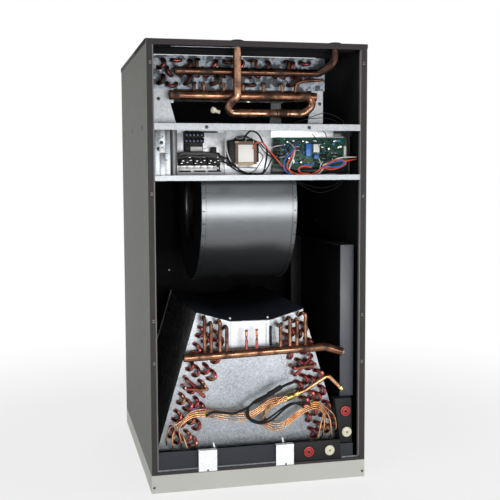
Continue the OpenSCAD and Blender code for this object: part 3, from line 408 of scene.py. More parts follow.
# Four shades of each tone, from the dark patches to the bright ones
copperTones = {
    # dull: dull bronze copper, darkened further as painted shade for the upper coil's pipes, bends and
    # rings
    "dullAndShaded": ((0.02, 0.01, 0.008), (0.06, 0.028, 0.019), (0.13, 0.062, 0.038), (0.1, 0.06, 0.033)),
    "brown": ((0.08, 0.036, 0.023), (0.2, 0.088, 0.052), (0.38, 0.19, 0.112), (0.3, 0.175, 0.078)),
    "warm": ((0.13, 0.055, 0.033), (0.31, 0.14, 0.082), (0.53, 0.28, 0.175), (0.42, 0.26, 0.115)),
    "clean": ((0.27, 0.12, 0.05), (0.47, 0.235, 0.11), (0.68, 0.40, 0.22), (0.56, 0.36, 0.16)),
    "brass": ((0.42, 0.29, 0.07), (0.66, 0.50, 0.16), (0.82, 0.68, 0.30), (0.90, 0.80, 0.48))}


# Red is the share of heat blush, sooty that of dark patches; face is where a bend's legs start and stay
# dark, and the given depth and height mark off a pipe's front and lower parts, which are brightened as
# painted light
def copper(name, tone="warm", red=0.0, sooty=0.0, face=None, scale=1.0, litFront=None):
    paint = Paint(name, metallic=1.0, roughness=0.3)
    patch = paint.noise(16 * scale, 3)
    streak = paint.noise(40, 2, paint.stretch(1, 1, 0.35))
    places = (0.30, 0.43, 0.56, 0.72)
    colour = paint.ramp(patch * 0.75 + streak * 0.25, *zip(places, copperTones[tone]))
    if red:
        blush = paint.step(paint.noise(22, 2), 0.62 - red * 0.5, 0.72 - red * 0.5)
        colour = paint.blend(blush, colour, (0.42, 0.1, 0.1))
    # painted light: the pipe's front and lower parts made brighter
    if litFront:
        paintedLightShare = 1.0 - paint.step(paint.along("Y"), litFront["y"] - 0.002, litFront["y"] + 0.002) \
            * paint.step(paint.along("Z"), litFront["z"] - 0.01, litFront["z"] + 0.006)
        colour = paint.blend(paintedLightShare * 0.45, colour, (0.8, 0.46, 0.3))
    tan = paint.step(paint.noise(26, 2), 0.56 - sooty, 0.84 - sooty)
    if face:
        near = 1.0 - paint.step(paint.along("Y"), face - 0.009, face - 0.001)
        tan = 1.0 - near * (1.0 - tan)
    paint.set("Base Color", paint.blend(tan, colour, (0.04, 0.021, 0.015)))
    paint.set("Metallic", 1.0 - tan * 0.3)
    paint.set("Roughness", 0.16 + tan * 0.3 + streak * 0.18)
    paint.bump(paint.noise(160, 1), 0.006, 0.3)
    return paint.material


def moulded(name, colour, light, rough=0.5, grain=900, depth=0.04, **fixed):
    paint = Paint(name, roughness=rough, **fixed)
    cloud = paint.noise(14, 4)
    pores = paint.noise(grain, 2)
    paint.set("Base Color", paint.blend(cloud * 0.7 + pores * 0.2, colour, light))
    paint.set("Roughness", rough - 0.08 + cloud * 0.16)
    paint.bump(pores, depth, 0.6)
    return paint.material


def insulation(name):
    paint = Paint(name, roughness=0.85, Specular_IOR_Level=0.15)
    fibre = paint.noise(320, 4, rough=0.7)
    dent = paint.noise(11, 3)
    paint.set("Base Color", paint.ramp(fibre * 0.6 + dent * 0.4, (0.35, (0.004, 0.004, 0.005)),
                                       (0.65, (0.012, 0.013, 0.015))))
    paint.set("Roughness", 0.62 + fibre * 0.3)
    paint.bump(fibre * 0.25 + dent * 4, 1.1, 0.7)
    return paint.material


# Coated aluminium; on a slab of the cooling coil, painted shade darkens the grooves between the ridges
# that run along the depth
def coatedFins(name, side=0):
    paint = Paint(name, metallic=0.35, roughness=0.45)
    dust = paint.noise(30, 4)
    colour = paint.ramp(dust, (0.35, (0.4, 0.4, 0.41)), (0.7, (0.75, 0.75, 0.77)))
    if side:
        lean = slab["lean"]
        across = side * (paint.along("X") - slab["middle"] * 0.001) - slab["apexHalf"] * 0.001
        rise = paint.along("Z") - slab["apexHeight"] * 0.001
        down = across * math.sin(lean) - rise * math.cos(lean)
        ridges = round(slab["length"] / slab["ripple"])
        turns = down * (ridges / slab["length"] * 2000 * math.pi)
        groove = 0.5 - 0.5 * paint.add("Math", {"operation": "COSINE"}, {0: turns})
        # painted shade in the grooves between the ridges
        colour = paint.blend(paint.step(groove, 0.3, 0.75), colour, (0.04, 0.04, 0.042))
    paint.set("Base Color", colour)
    paint.set("Roughness", 0.35 + dust * 0.25)
    paint.bump(paint.noise(800, 2), 0.03, 0.5)
    return paint.material


# Tracks between rows of bricks, with solder pads over them
def circuitBoard(name):
    paint = Paint(name, roughness=0.45, Specular_IOR_Level=0.3)
    upright = paint.add("CombineXYZ", {}, {0: paint.along("X"), 1: paint.along("Z")})
    tracks = paint.add("TexBrick", {"offset": 0.35, "squash": 0.6}, {
        "Vector": upright, "Scale": 90.0, "Mortar Size": 0.05, "Color1": (0.003, 0.045, 0.026),
        "Color2": (0.006, 0.085, 0.045), "Mortar": (0.02, 0.13, 0.075)})
    pads = paint.step(paint.cells(420, out="Distance"), 0.16, 0.12)
    paint.set("Base Color", paint.blend(pads, tracks, (0.62, 0.6, 0.5)))
    paint.set("Metallic", pads * 0.9)
    paint.bump(pads, 0.1, 0.5)
    return paint.material


def laminations(name):
    paint = Paint(name, metallic=0.3, roughness=0.45, Coat_Weight=0.3)
    leaves = paint.add("TexWave", {"bands_direction": "Y"}, {"Vector": paint.object, "Scale": 300.0,
                                                            "Distortion": 0.4})
    stain = paint.noise(60, 4)
    paint.set("Base Color", paint.blend(leaves * 0.5 + stain * 0.5,
                                        (0.03, 0.014, 0.01), (0.17, 0.085, 0.048)))
    paint.bump(leaves, 0.2, 0.8)
    return paint.material


finish = {
    "greyGreen": enamel("greyGreenEnamel", (0.165, 0.173, 0.15), (0.125, 0.132, 0.114), 0.5,
                        Specular_IOR_Level=0.2),
    "paleGrey": enamel("paleGreyEnamel", (0.54, 0.545, 0.5), (0.45, 0.455, 0.42), Coat_Weight=0.15,
                       Coat_Roughness=0.3),
    "mauve": enamel("mauveBrownEnamel", (0.036, 0.029, 0.031), (0.022, 0.018, 0.02), 0.55,
                    Specular_IOR_Level=0.3),
    "lipGrey": enamel("lipGrey", (0.2, 0.19, 0.18), (0.13, 0.125, 0.12), 0.5),
    "blackEnamel": enamel("blackEnamel", (0.014, 0.014, 0.015), (0.03, 0.03, 0.032), 0.3),
    "zinc": galvanised("zinc", (0.12, 0.13, 0.143), (0.44, 0.465, 0.49), 4, 0.3),
    "coilZinc": shadedZinc("coilZinc"),
    "endZinc": galvanised("endZinc", (0.17, 0.185, 0.2), (0.4, 0.425, 0.45), 5, 0.36),
    "brightZinc": galvanised("brightZinc", (0.22, 0.23, 0.245), (0.42, 0.434, 0.45), 6, 0.4),
    "whiteZinc": galvanised("whiteZinc", (0.6, 0.61, 0.63), (0.84, 0.855, 0.875), 6, 0.4),
    "plateZinc": galvanised("plateZinc", (0.36, 0.37, 0.385), (0.55, 0.56, 0.58), 6, 0.4),
    "brushedZinc": rolledSheet("rolledSheet"),
    "darkZinc": moulded("darkZinc", (0.13, 0.132, 0.138), (0.22, 0.224, 0.23), 0.34, Metallic=0.4),
    "steel": galvanised("turnedSteel", (0.4, 0.4, 0.4), (0.72, 0.71, 0.7), 2, 0.25),
    "pipeCopper": copper("pipeCopper", "brown", sooty=0.13),
    "bendCopper": copper("bendCopper", red=0.46, sooty=0.02, face=-0.3315),
    # the upper coil's bends: dull tone, darkened as painted shade
    "flatBendCopper": copper("flatBendCopper", "dullAndShaded", red=0.42, sooty=0.22, face=-0.312),
    "lineCopper": copper("lineCopper", "clean", scale=2.0),
    "brass": copper("brass", "brass", scale=0.6),
    "liner": insulation("blackInsulation"),
    "fins": coatedFins("coatedFins"),
    "finsLeft": coatedFins("coatedFinsLeft", -1),
    "finsRight": coatedFins("coatedFinsRight", 1),
    "blackPlastic": moulded("blackPlastic", (0.008, 0.008, 0.009), (0.02, 0.02, 0.022), 0.5,
                            Specular_IOR_Level=0.2),
    "slatePlastic": moulded("slatePlastic", (0.013, 0.016, 0.023), (0.026, 0.03, 0.042), 0.45,
                            Specular_IOR_Level=0.3),
    "blueGreyPlastic": moulded("blueGreyPlastic", (0.045, 0.05, 0.064), (0.075, 0.08, 0.1), 0.4),
    "rubber": moulded("blackRubber", (0.006, 0.006, 0.006), (0.016, 0.016, 0.016), 0.7,
                      Specular_IOR_Level=0.2),
    "redPlastic": moulded("redPlastic", (0.5, 0.012, 0.014), (0.72, 0.05, 0.04), 0.32,
                          Coat_Weight=0.3),
    "creamPlastic": moulded("creamPlastic", (0.66, 0.62, 0.45), (0.85, 0.82, 0.66), 0.36,
                            Coat_Weight=0.3),
    "whitePlastic": moulded("whitePlastic", (0.72, 0.72, 0.7), (0.88, 0.88, 0.86), 0.35),
    "bluePlastic": moulded("bluePlastic", (0.02, 0.13, 0.5), (0.05, 0.25, 0.75), 0.35),
    "board": circuitBoard("circuitBoard"),
    "laminations": laminations("laminations"),
    # headerCopper: the riser and the crossing run brightened as painted light
    "headerCopper": copper("headerCopper", "brown", sooty=0.14,
                           litFront={"y": -0.3585, "z": 1.108}),
    "dullShadedCopper": copper("dullShadedCopper", "dullAndShaded", sooty=0.12),
    "ringCopper": copper("ringCopper", "dullAndShaded", sooty=0.2),
    "slateSteel": moulded("slateSteel", (0.03, 0.035, 0.06), (0.09, 0.1, 0.15), 0.3, Metallic=0.8),
    "braid": moulded("braidedSleeve", (0.02, 0.02, 0.02), (0.09, 0.09, 0.09), 0.6, grain=500,
                     depth=0.3),
    "tanCard": moulded("tanCard", (0.42, 0.31, 0.18), (0.6, 0.47, 0.3), 0.6),
    "paper": moulded("labelPaper", (0.86, 0.85, 0.82), (0.95, 0.945, 0.92), 0.6),
    "blackWire": moulded("blackWire", (0.006, 0.006, 0.007), (0.016, 0.016, 0.017), 0.55,
                         Specular_IOR_Level=0.22),
    "whiteWire": moulded("whiteWire", (0.62, 0.61, 0.58), (0.85, 0.84, 0.8), 0.4),
    "greyWire": moulded("greyWire", (0.3, 0.3, 0.3), (0.5, 0.5, 0.5), 0.4),
    "redWire": moulded("redWire", (0.62, 0.06, 0.02), (0.85, 0.12, 0.04), 0.35),
    "blueWire": moulded("blueWire", (0.03, 0.09, 0.45), (0.06, 0.18, 0.7), 0.35),
}
print("finishes ready:", len(finish))


# The photograph's point of view: place in millimetres, turns in degrees, lens on a 36 mm sensor
view = {"place": (-610.02, -2893.46, 922.65), "yaw": 13.01, "pitch": -5.06, "roll": -0.23,
        "lens": 64.87, "sensor": 36}


def setCamera():
    yaw, pitch, roll = (math.radians(view[k]) for k in ("yaw", "pitch", "roll"))
    forward = Vector((math.sin(yaw) * math.cos(pitch), math.cos(yaw) * math.cos(pitch),
                      math.sin(pitch)))
    right = Vector((math.cos(yaw), -math.sin(yaw), 0))
    up = right.cross(forward)
    right, up = (right * math.cos(roll) + up * math.sin(roll),
                 up * math.cos(roll) - right * math.sin(roll))
    camera = bpy.data.objects.new("camera", bpy.data.cameras.new("camera"))
    camera.data.lens = view["lens"]
    camera.data.sensor_width = view["sensor"]
    turn = Matrix((right, up, -forward)).transposed().to_4x4()
    camera.matrix_world = Matrix.Translation(at(*view["place"])) @ turn
    bpy.context.collection.objects.link(camera)
    bpy.context.scene.camera = camera


# Soft boxes, in metres and watts; the front strip is the bright band that the scroll shows
lamps = {
    "topLeft": {"place": (-2.1, -2.1, 3.3), "aim": (0, 0, 0.8), "size": (1.6, 1.3), "power": 30},
    "frontStrip": {"place": (0.5, -3.4, 0.47), "aim": (0.5, 0, 0.47), "size": (2.1, 0.88),
                   "power": 46},
    "right": {"place": (3.0, -1.4, 2.2), "aim": (0, 0, 0.6), "size": (1.5, 1.5), "power": 18},
    "back": {"place": (0.5, 3.2, 2.6), "aim": (0, 0, 0.7), "size": (2.0, 1.5), "power": 24},
}


def setLamps():
    for name, lamp in lamps.items():
        light = bpy.data.lights.new(name, "AREA")
        light.shape = "RECTANGLE"
        light.size, light.size_y = lamp["size"]
        light.energy = lamp["power"]
        lampObject = bpy.data.objects.new(name, light)
        lampObject.location = lamp["place"]
        aim = Vector(lamp["aim"]) - Vector(lamp["place"])
        lampObject.rotation_euler = aim.to_track_quat("-Z", "Y").to_euler()
        lampObject.visible_camera = False
        bpy.context.collection.objects.link(lampObject)


# Light from all round, and the room that shiny surfaces show: white low down, darker above
studio = {"light": 0.31, "low": 0.08, "high": 0.26, "white": 1.0, "dusk": 0.1}


def setWorld():
    world = bpy.data.worlds.new("studio")
    world.use_nodes = True
    bpy.context.scene.world = world
    tree = world.node_tree
    background = tree.nodes["Background"]
    rays, compass, split, dusk, shiny, level, brightest = (
        tree.nodes.new("ShaderNode" + kind) for kind in
        ("LightPath", "TexCoord", "SeparateXYZ", "MapRange", "Math", "MapRange", "Math"))
    shiny.operation = "ADD"
    brightest.operation = "MAXIMUM"
    for socket, value in (("From Min", "low"), ("From Max", "high"),
                          ("To Min", "white"), ("To Max", "dusk")):
        dusk.inputs[socket].default_value = studio[value]
    level.inputs["To Min"].default_value = studio["light"]
    for source, target in ((compass.outputs["Generated"], split.inputs[0]),
                           (split.outputs["Z"], dusk.inputs["Value"]),
                           (rays.outputs["Is Glossy Ray"], shiny.inputs[0]),
                           (rays.outputs["Is Transmission Ray"], shiny.inputs[1]),
                           (shiny.outputs[0], level.inputs["Value"]),
                           (dusk.outputs[0], level.inputs["To Max"]),
                           (level.outputs[0], brightest.inputs[0]),
                           (rays.outputs["Is Camera Ray"], brightest.inputs[1]),
                           (brightest.outputs[0], background.inputs["Strength"])):
        tree.links.new(source, target)
    background.inputs["Color"].default_value = (1, 1, 1, 1)


floorLook = {"size": 40, "height": -0.0005, "grey": (0.9, 0.9, 0.9), "pale": (0.93, 0.93, 0.93),
             "near": 0.7, "far": 2.2, "glow": 0.72}


# The floor keeps the shadow near the cabinet and fades to white away from it
def setFloor():
    release()
    bpy.ops.mesh.primitive_plane_add(size=floorLook["size"], location=(0, 0, floorLook["height"]))
    floor = bpy.context.object
    floor.name = "studioFloor"
    paint = Paint("studioFloor", roughness=0.6)
    paint.set("Base Color", paint.blend(paint.noise(1.5, 2), floorLook["grey"], floorLook["pale"]))
    away = (paint.along("X") ** 2 + paint.along("Y") ** 2) ** 0.5
    rays = paint.add("LightPath", out=None)
    seen = Field(paint, rays.outputs["Is Camera Ray"]) + Field(paint, rays.outputs["Is Glossy Ray"]) \
        + Field(paint, rays.outputs["Is Transmission Ray"])
    faded = paint.step(away, floorLook["near"], floorLook["far"])
    share = floorLook["glow"] + (1 - floorLook["glow"]) * faded
    glow = paint.add("Emission", {}, {"Strength": 1.0})
    lit = Field(paint, paint.shader.outputs[0])
    mixed = paint.add("MixShader", {}, {0: seen * share, 1: lit, 2: glow})
    output = paint.tree.nodes["Material Output"]
    paint.tree.links.new(mixed.socket, output.inputs["Surface"])
    floor.data.materials.append(paint.material)


setCamera()
setLamps()
setWorld()
setFloor()
bpy.context.scene.view_settings.view_transform = "Standard"
print("camera, lamps and floor ready")


# The finish of each node of the construction, shown or not
carried = {
    "greyGreen": ["left_side_panel", "right_side_panel", "back_panel"],
    "paleGrey": ["base_frame"],
    "mauve": ["top_panel", "door_posts", "door_rails"],
    "lipGrey": ["door_lips"],
    "slatePlastic": ["drain_pan", "coil_top_cap"],
    "zinc": ["floor_deck", "coil_tube_sheets", "delta_plates", "blower_deck", "deck_rails",
             "blower_cutoff", "blower_wheel", "motor_bracket"],
    "coilZinc": ["heat_tube_sheets"],
    "brightZinc": ["control_tray", "heat_coil_brackets"],
    "whiteZinc": ["pan_clips"],
    "plateZinc": ["centre_plate"],
    "brushedZinc": ["scroll_sheet", "left_housing_side", "right_housing_side"],
    "steel": ["motor_shaft"],
    "liner": ["side_liners", "back_liner", "top_liner"],
    "rubber": ["pipe_grommets", "top_edge_strip"],
    "blackEnamel": ["cabinet_screws", "motor_body", "heat_coil_channel"],
    "fins": ["left_coil_fins", "right_coil_fins", "heat_coil_fins"],
    "bendCopper": ["coil_return_bends"],
    "flatBendCopper": ["heat_coil_pipes"],
    "pipeCopper": ["suction_header"],
    "lineCopper": ["liquid_line", "capillary_tubes"],
    "brass": ["distributor"],
    "blackPlastic": ["port_blocks", "terminal_block", "relay_bank"],
    "darkZinc": ["cable_duct"],
    "blueGreyPlastic": ["side_drain_pan"],
    "redPlastic": ["red_drain_plugs"],
    "creamPlastic": ["cream_drain_plugs", "vent_plug"],
    "laminations": ["transformer"],
    "board": ["control_board"],
    "whitePlastic": ["door_switch", "switch_plunger"],
    "blackWire": ["black_wires", "sensor_lead"],
    "whiteWire": ["white_wires"],
    "redWire": ["signal_wires"],
}
for finishName, names in carried.items():
    for name in names:
        tint(nodes[name], finishName)
missing = sorted(set(nodes) - {name for names in carried.values() for name in names})
print("construction painted, nodes without a finish:", missing)


# Return bends of the cooling coil; a crossed bend passes over others at this tube
coil = {"face": -331.5, "pipe": 5.5, "stub": 10.0, "groove": 2.2, "rearGap": 1.5,
        "leans": (-12, -17, -9), "crossing": {-1: 7, 1: 5}, "crossed": ((0, 3, 29), (3, 0, 40)),
        "crossBend": 8, "collar": 0.7, "collarLength": 5.5}


# Fin pack whose plates' rippled edges line up into ridges along the depth
def buildFins(side):
    steps = round(slab["length"] / slab["ripple"])
    outline = [slabPoint(side, slab["thick"], 0)]
    for k in range(steps):
        d = (k + 0.5) * slab["length"] / steps
        for shift, cut in ((-0.42, 0), (-0.2, coil["groove"]), (0.2, coil["groove"]), (0.42, 0)):
            outline.append(slabPoint(side, slab["thick"] - cut, d + shift * slab["ripple"]))
    outline += [slabPoint(side, slab["thick"], slab["length"]), slabPoint(side, 0, slab["length"]),
                slabPoint(side, 0, 0)]
    count = len(outline)
    points = [(x, y, z) for y in (slab["front"], slab["rear"] - coil["rearGap"]) for x, z in outline]
    faces = [(k, (k + 1) % count, count + (k + 1) % count, count + k) for k in range(count)]
    faces += [tuple(range(count - 1, -1, -1)), tuple(range(count, 2 * count))]
    return faceOut(shape(points, faces))


# Return bend about the origin, its crown standing out along +Y and leaning along Z
def buildBend(gap, lean, reach=1.0, pipe=5.5):
    half, stub = gap / 2, coil["stub"] * reach
    crown = stub + half * reach
    path = [at(-half, 0, 0)]
    for k in range(13):
        turn = math.pi * (1 - k / 12)
        out = stub + half * reach * math.sin(turn)
        path.append(at(half * math.cos(turn), out, lean * (out / crown) ** 2))
    path.append(at(half, 0, 0))
    collars = [rod((x, 0, 0), (x, 4.5, 0), pipe + 0.6, 0.5, 14) for x in (-half, half)]
    return joinAll([tube(path, pipe, 3)] + collars)


# Where a bend joins each pair of tubes
def bendPlaces(pairs, face):
    places = []
    for p, q in pairs:
        dx, dz = q[0] - p[0], q[1] - p[1]
        turn = Matrix.Rotation(-math.atan2(dz, dx), 4, "Y")
        flip = Matrix.Rotation(math.pi, 4, "X")
        places.append(move((p[0] + q[0]) / 2, face, (p[1] + q[1]) / 2) @ turn @ flip)
    return places


# The ring of solder where a pipe leaves the tube sheet
def buildCollar(x, z):
    return rod((x, coil["face"], z), (x, coil["face"] - coil["collarLength"], z),
               coil["pipe"] + coil["collar"], 0.3, 14)


def buildCoilBends():
    pairs, crossed = [], []
    face = coil["face"]
    for side, swap in coil["crossing"].items():
        for row in range(slab["rows"]):
            for j in range(1, slab["tubes"] - 2, 2):
                if j != swap or row in (1, 2):
                    pairs.append((slabTube(side, row, j), slabTube(side, row, j + 1)))
        for a, b, reach in coil["crossed"]:
            p, q = slabTube(side, a, swap), slabTube(side, b, swap + 1)
            path = [(p[0], face, p[1]), (p[0], face - reach, p[1]),
                    (q[0], face - reach, q[1]), (q[0], face, q[1])]
            crossed.append(tube(bendCorners(path, coil["crossBend"]), coil["pipe"], 2))
            crossed += [buildCollar(*end) for end in (p, q)]
    short = [copies(buildBend(slab["pitch"], lean), bendPlaces(pairs[k::3], face))
             for k, lean in enumerate(coil["leans"])]
    return joinAll(short + crossed)


# Suction header: shift is each riser's place beside its tube; a stem is a pinched stub, given as
# low and high end above the header's middle and the radius at each
suction = {"y": -372, "z": 387, "start": -221, "end": 200, "slope": 0.031, "radius": 12.4,
           "shift": {-1: (1.3, 3.2, 4.4, 7), 1: (11, 3, 6, -5)}, "tail": (52, -2, -4), "bend": 16,
           "stems": (-39, -8), "stem": ((0, 36, 4.2, 4.2), (36, 44, 4.2, 2.2), (44, 52, 2.2, 4),
                                        (52, 62, 4, 3.2), (62, 69, 3.2, 4.6))}


def headerHeight(x):
    return suction["z"] + (x - suction["start"]) * suction["slope"]


def buildSuction():
    y, face = suction["y"], coil["face"]
    start = (suction["start"], y, suction["z"])
    turn = (suction["end"], y, headerHeight(suction["end"]))
    out, forward, rise = suction["tail"]
    tail = (suction["end"] + out, y + forward, suction["z"] + rise)
    made = [tube(bendCorners([start, turn, tail], suction["bend"]), suction["radius"], 4),
            rod((start[0] + 2, y, start[2]), (start[0] - 3.5, y, start[2]), 11.4, 2.4)]
    aim = (at(*tail) - at(*turn)).normalized()
    crimp = [rod(tail, [t + a * 6 for t, a in zip(tail, aim)], 8.6, 1.2, 12, 6.6),
             ring([t - a * 0.5 for t, a in zip(tail, aim)], aim, 10, 2.2),
             rod(start, (start[0] - 1, y, start[2]), 11.2, 0.4)]
    rings, stems = [], []
    for side, shifts in suction["shift"].items():
        for row, shift in enumerate(shifts):
            px, pz = slabTube(side, row, 0)
            x = px + shift
            hook = [(px, face, pz), (px, face - 12, pz + 1), (px + (x - px) * 0.1, y + 12, pz + 7),
                    (px + (x - px) * 0.5, y + 3, pz + 11), (x, y - 1, pz + 3), (x, y, pz - 16)]
            made.append(tube(easeThrough(hook, 5) + [at(x, y, headerHeight(x))], coil["pipe"], 3))
            rings.append(ring((x, y, headerHeight(x) + suction["radius"] - 0.4), (0, 0, 1), 5.1, 1.1))
            rings.append(buildCollar(px, pz))
    for x in suction["stems"]:
        z = headerHeight(x)
        stems += [rod((x, y, z + low), (x, y, z + high), wide, 0, 14, narrow)
                  for low, high, wide, narrow in suction["stem"]]
        rings.append(ring((x, y, z + suction["radius"] - 0.4), (0, 0, 1), 4.4, 1.2))
    return joinAll(made), joinAll(rings + stems), joinAll(crimp)


# Liquid line: from the distributor's inlet up to the top corner and down to the open foot
line = {"inlet": (120, -362, 262), "face": (83, -362, 249), "top": (212, -362, 311),
        "foot": (251, -362, 272), "radius": 6.35, "bend": 14, "entry": 22}


def lineAxis(start, end):
    return (at(*end) - at(*start)).normalized()


def alongLine(start, axis, distance):
    return [s + a * distance for s, a in zip(start, axis)]


def buildDistributor():
    axis = lineAxis(line["inlet"], line["face"])
    spots = {s: alongLine(line["inlet"], axis, s) for s in (-5, 0, 12, 12.6, 26, 39.2)}
    return joinAll([rod(spots[-5], spots[0], 7.6, 0.5, 20), rod(spots[0], spots[12], 10, 0.9, 6),
                    ring(spots[12.6], axis, 8.2, 1.0), rod(spots[12], spots[26], 8, 0.3, 24, 11),
                    rod(spots[26], spots[39.2], 11, 0.8, 28)])


def buildLiquidLine():
    first = alongLine(line["inlet"], lineAxis(line["inlet"], line["face"]), -line["entry"])
    path = bendCorners([line["inlet"], first, line["top"], line["foot"]], line["bend"])
    pipe = tube(path, line["radius"], 3)
    aim = lineAxis(line["top"], line["foot"])
    spots = {s: alongLine(line["foot"], aim, s) for s in (-2.5, -2, 5, 8)}
    fitting = [rod(spots[-2], spots[5], 8.6, 0.8, 6), rod(spots[5], spots[8], 7.2, 0.6, 20),
               ring(spots[-2.5], aim, 6.6, 1.2)]
    return pipe, joinAll(fitting)


# Capillaries of each side run as one flat bundle, then spread to their tubes
capillary = {"radius": 2.3, "front": -362.5, "stack": 2.2, "spacing": 5.9, "shift": 1.8,
             "circle": 6.8}
capillaryRoutes = {
    -1: [(53, 244), (31, 240), (10, 227), (-16, 211), (-41, 204), (-92, 207), (-142, 218), (-187, 222),
         (-214, 211), (-236, 190)],
    1: [(46, 238), (24, 222), (13, 202), (18, 182), (37, 168), (69, 168), (104, 190), (139, 213),
        (173, 223), (198, 208)]}


def outletPlace(k, up):
    axis = lineAxis(line["inlet"], line["face"])
    turn = math.radians(22.5 + 45 * k)
    side = Vector((0, 1, 0))
    out = capillary["circle"] * (math.cos(turn) * side + up * math.sin(turn) * side.cross(axis))
    return alongLine(line["face"], out, 1), axis


def buildCapillaries():
    made = []
    for side, route in capillaryRoutes.items():
        for k in range(slab["rows"]):
            hx, hz = slabTube(side, k, slab["tubes"] - 1)
            start, axis = outletPlace(k, -side)
            y = capillary["front"] - capillary["stack"] * k
            place = 1.5 - k
            points = [start, alongLine(start, axis, 8)]
            points += [(x + place * capillary["shift"], y, z + place * capillary["spacing"])
                       for x, z in route]
            lastX, lastZ = points[-1][0], points[-1][2]
            points += [((lastX + 2 * hx) / 3 + side * 6, y, (lastZ + hz) / 2 + 18),
                       (hx + side * 3, y, hz + 26), (hx, -350, hz + 3), (hx, coil["face"], hz)]
            made.append(tube(easeThrough(points, 7), capillary["radius"], 3))
    return joinAll(made)


# Sensor lead: radius, depth and route of each length, then the sleeve with its bulb
sensorLeads = [
    (4.2, -377, [(104, 301), (82, 294), (62, 286)]),
    (3.6, -374, [(27, 268), (6, 259), (-16, 249), (-30, 236), (-52, 225), (-77, 217), (-104, 219),
                 (-140, 224), (-160, 214)]),
    (3.3, -377, [(30, 266), (12, 256), (-8, 247), (-28, 240), (-38, 224), (-38, 206), (-28, 193),
                 (-12, 185), (8, 182), (36, 191), (72, 219), (94, 232), (114, 237), (136, 236),
                 (154, 228)]),
    (3.1, -373, [(-34, 226), (-34, 206), (-17, 191), (8, 187), (34, 199), (70, 223), (96, 235),
                 (120, 231), (134, 220)])]
sensorSleeve = {"radius": 7.6, "bulb": ((66, -376, 288.6), (61, -376, 285.8)),
                "route": [(65, -376, 288), (52, -376, 281), (38, -375.5, 273), (24, -375, 266)]}


def buildSensorLead():
    made = [tube(easeThrough([(x, y, z) for x, z in route], 7), radius, 2)
            for radius, y, route in sensorLeads]
    made.append(tube(easeThrough(sensorSleeve["route"], 4), sensorSleeve["radius"], 4))
    made.append(rod(*sensorSleeve["bulb"], 5, 0.8, 20))
    return joinAll(made)


# Black strip as painted shade in the slot beside the middle plate, and the pale tabs over the pan's clips
dress(block((39.5, -336.2, 404), (46.5, -334.4, 463), 0.3), "plateSlot", "blackPlastic")
clipTabs = [wedge([(x, 121), (x + 4, 121), (x + 1, 135), (x - 3, 136)], -377.5, -376.6)
            for x in (-139, 68)]
dress(joinAll(clipTabs), "clipTabs", "whiteZinc")
for side, node in ((-1, "left_coil_fins"), (1, "right_coil_fins")):
    hand = "Left" if side < 0 else "Right"
    dress(buildFins(side), "finPack" + hand, "fins" + hand, instead=(node,), angle=0)
dress(buildCoilBends(), "coilBends", "bendCopper", instead=("coil_return_bends",))
suctionPipes, suctionRings, suctionCrimp = buildSuction()
dress(suctionPipes, "suctionPipes", "pipeCopper", instead=("suction_header",), angle=50)
dress(suctionRings, "suctionBrazeRings", "bendCopper")
dress(suctionCrimp, "suctionCrimp", "steel")
dress(buildDistributor(), "distributorNut", "brass", instead=("distributor",))
liquidPipe, liquidFitting = buildLiquidLine()
dress(liquidPipe, "liquidPipe", "lineCopper", instead=("liquid_line",), angle=50)
dress(liquidFitting, "liquidFitting", "brass")
dress(buildCapillaries(), "capillaries", "lineCopper", instead=("capillary_tubes",),
      angle=60)
dress(buildSensorLead(), "sensorCable", "blackWire", instead=("sensor_lead",),
      angle=60)
print("cooling coil ready")


# Blower housing: four arcs, each wider by one step, from the cut-off round and up to the deck
blower = {"y": -22, "z": 800, "left": -150, "right": 142, "sheet": 1.2, "lip": 12, "inlet": 112,
          "bell": 14, "step": 28, "first": 180, "cut": 70, "lean": 20, "deck": 1053.8, "foot": 14,
          "around": 48, "markGap": 34, "groove": 1.1}


# The scroll's side view as (y, z), a distance outside its inner face
def scrollLine(out, fine=3):
    shift = blower["step"] / 2
    centres = [(blower["y"] + shift, blower["z"] - shift), (blower["y"] - shift, blower["z"] - shift),
               (blower["y"] - shift, blower["z"] + shift), (blower["y"] + shift, blower["z"] + shift)]
    spans = [(blower["cut"], 0), (0, -90), (-90, -180), (-180, -180 - blower["lean"])]
    path = []
    for q, (start, end) in enumerate(spans):
        radius = blower["first"] + q * blower["step"] + out
        steps = round(abs(end - start) / fine)
        for k in range(0 if q == 0 else 1, steps + 1):
            a = math.radians(start + (end - start) * k / steps)
            path.append((centres[q][0] + radius * math.cos(a), centres[q][1] + radius * math.sin(a)))
    y, z = path[-1]
    rise = blower["deck"] - z
    for k in range(1, 5):
        path.append((y + rise * k / 4 * math.tan(math.radians(blower["lean"])), z + rise * k / 4))
    return path


# Band along the scroll between two depths outside the sheet
def scrollBand(x, inner, outer):
    low, high = scrollLine(inner), scrollLine(outer)
    count = len(low)
    points = [(end, y, z) for end in x for path in (low, high) for y, z in path]
    faces = []
    for k in range(count - 1):
        for a, b in ((0, 1), (1, 3), (3, 2), (2, 0)):
            faces.append((a * count + k, a * count + k + 1, b * count + k + 1, b * count + k))
    for k in (0, count - 1):
        faces.append((k, count + k, 3 * count + k, 2 * count + k))
    return faceOut(shape(points, faces))


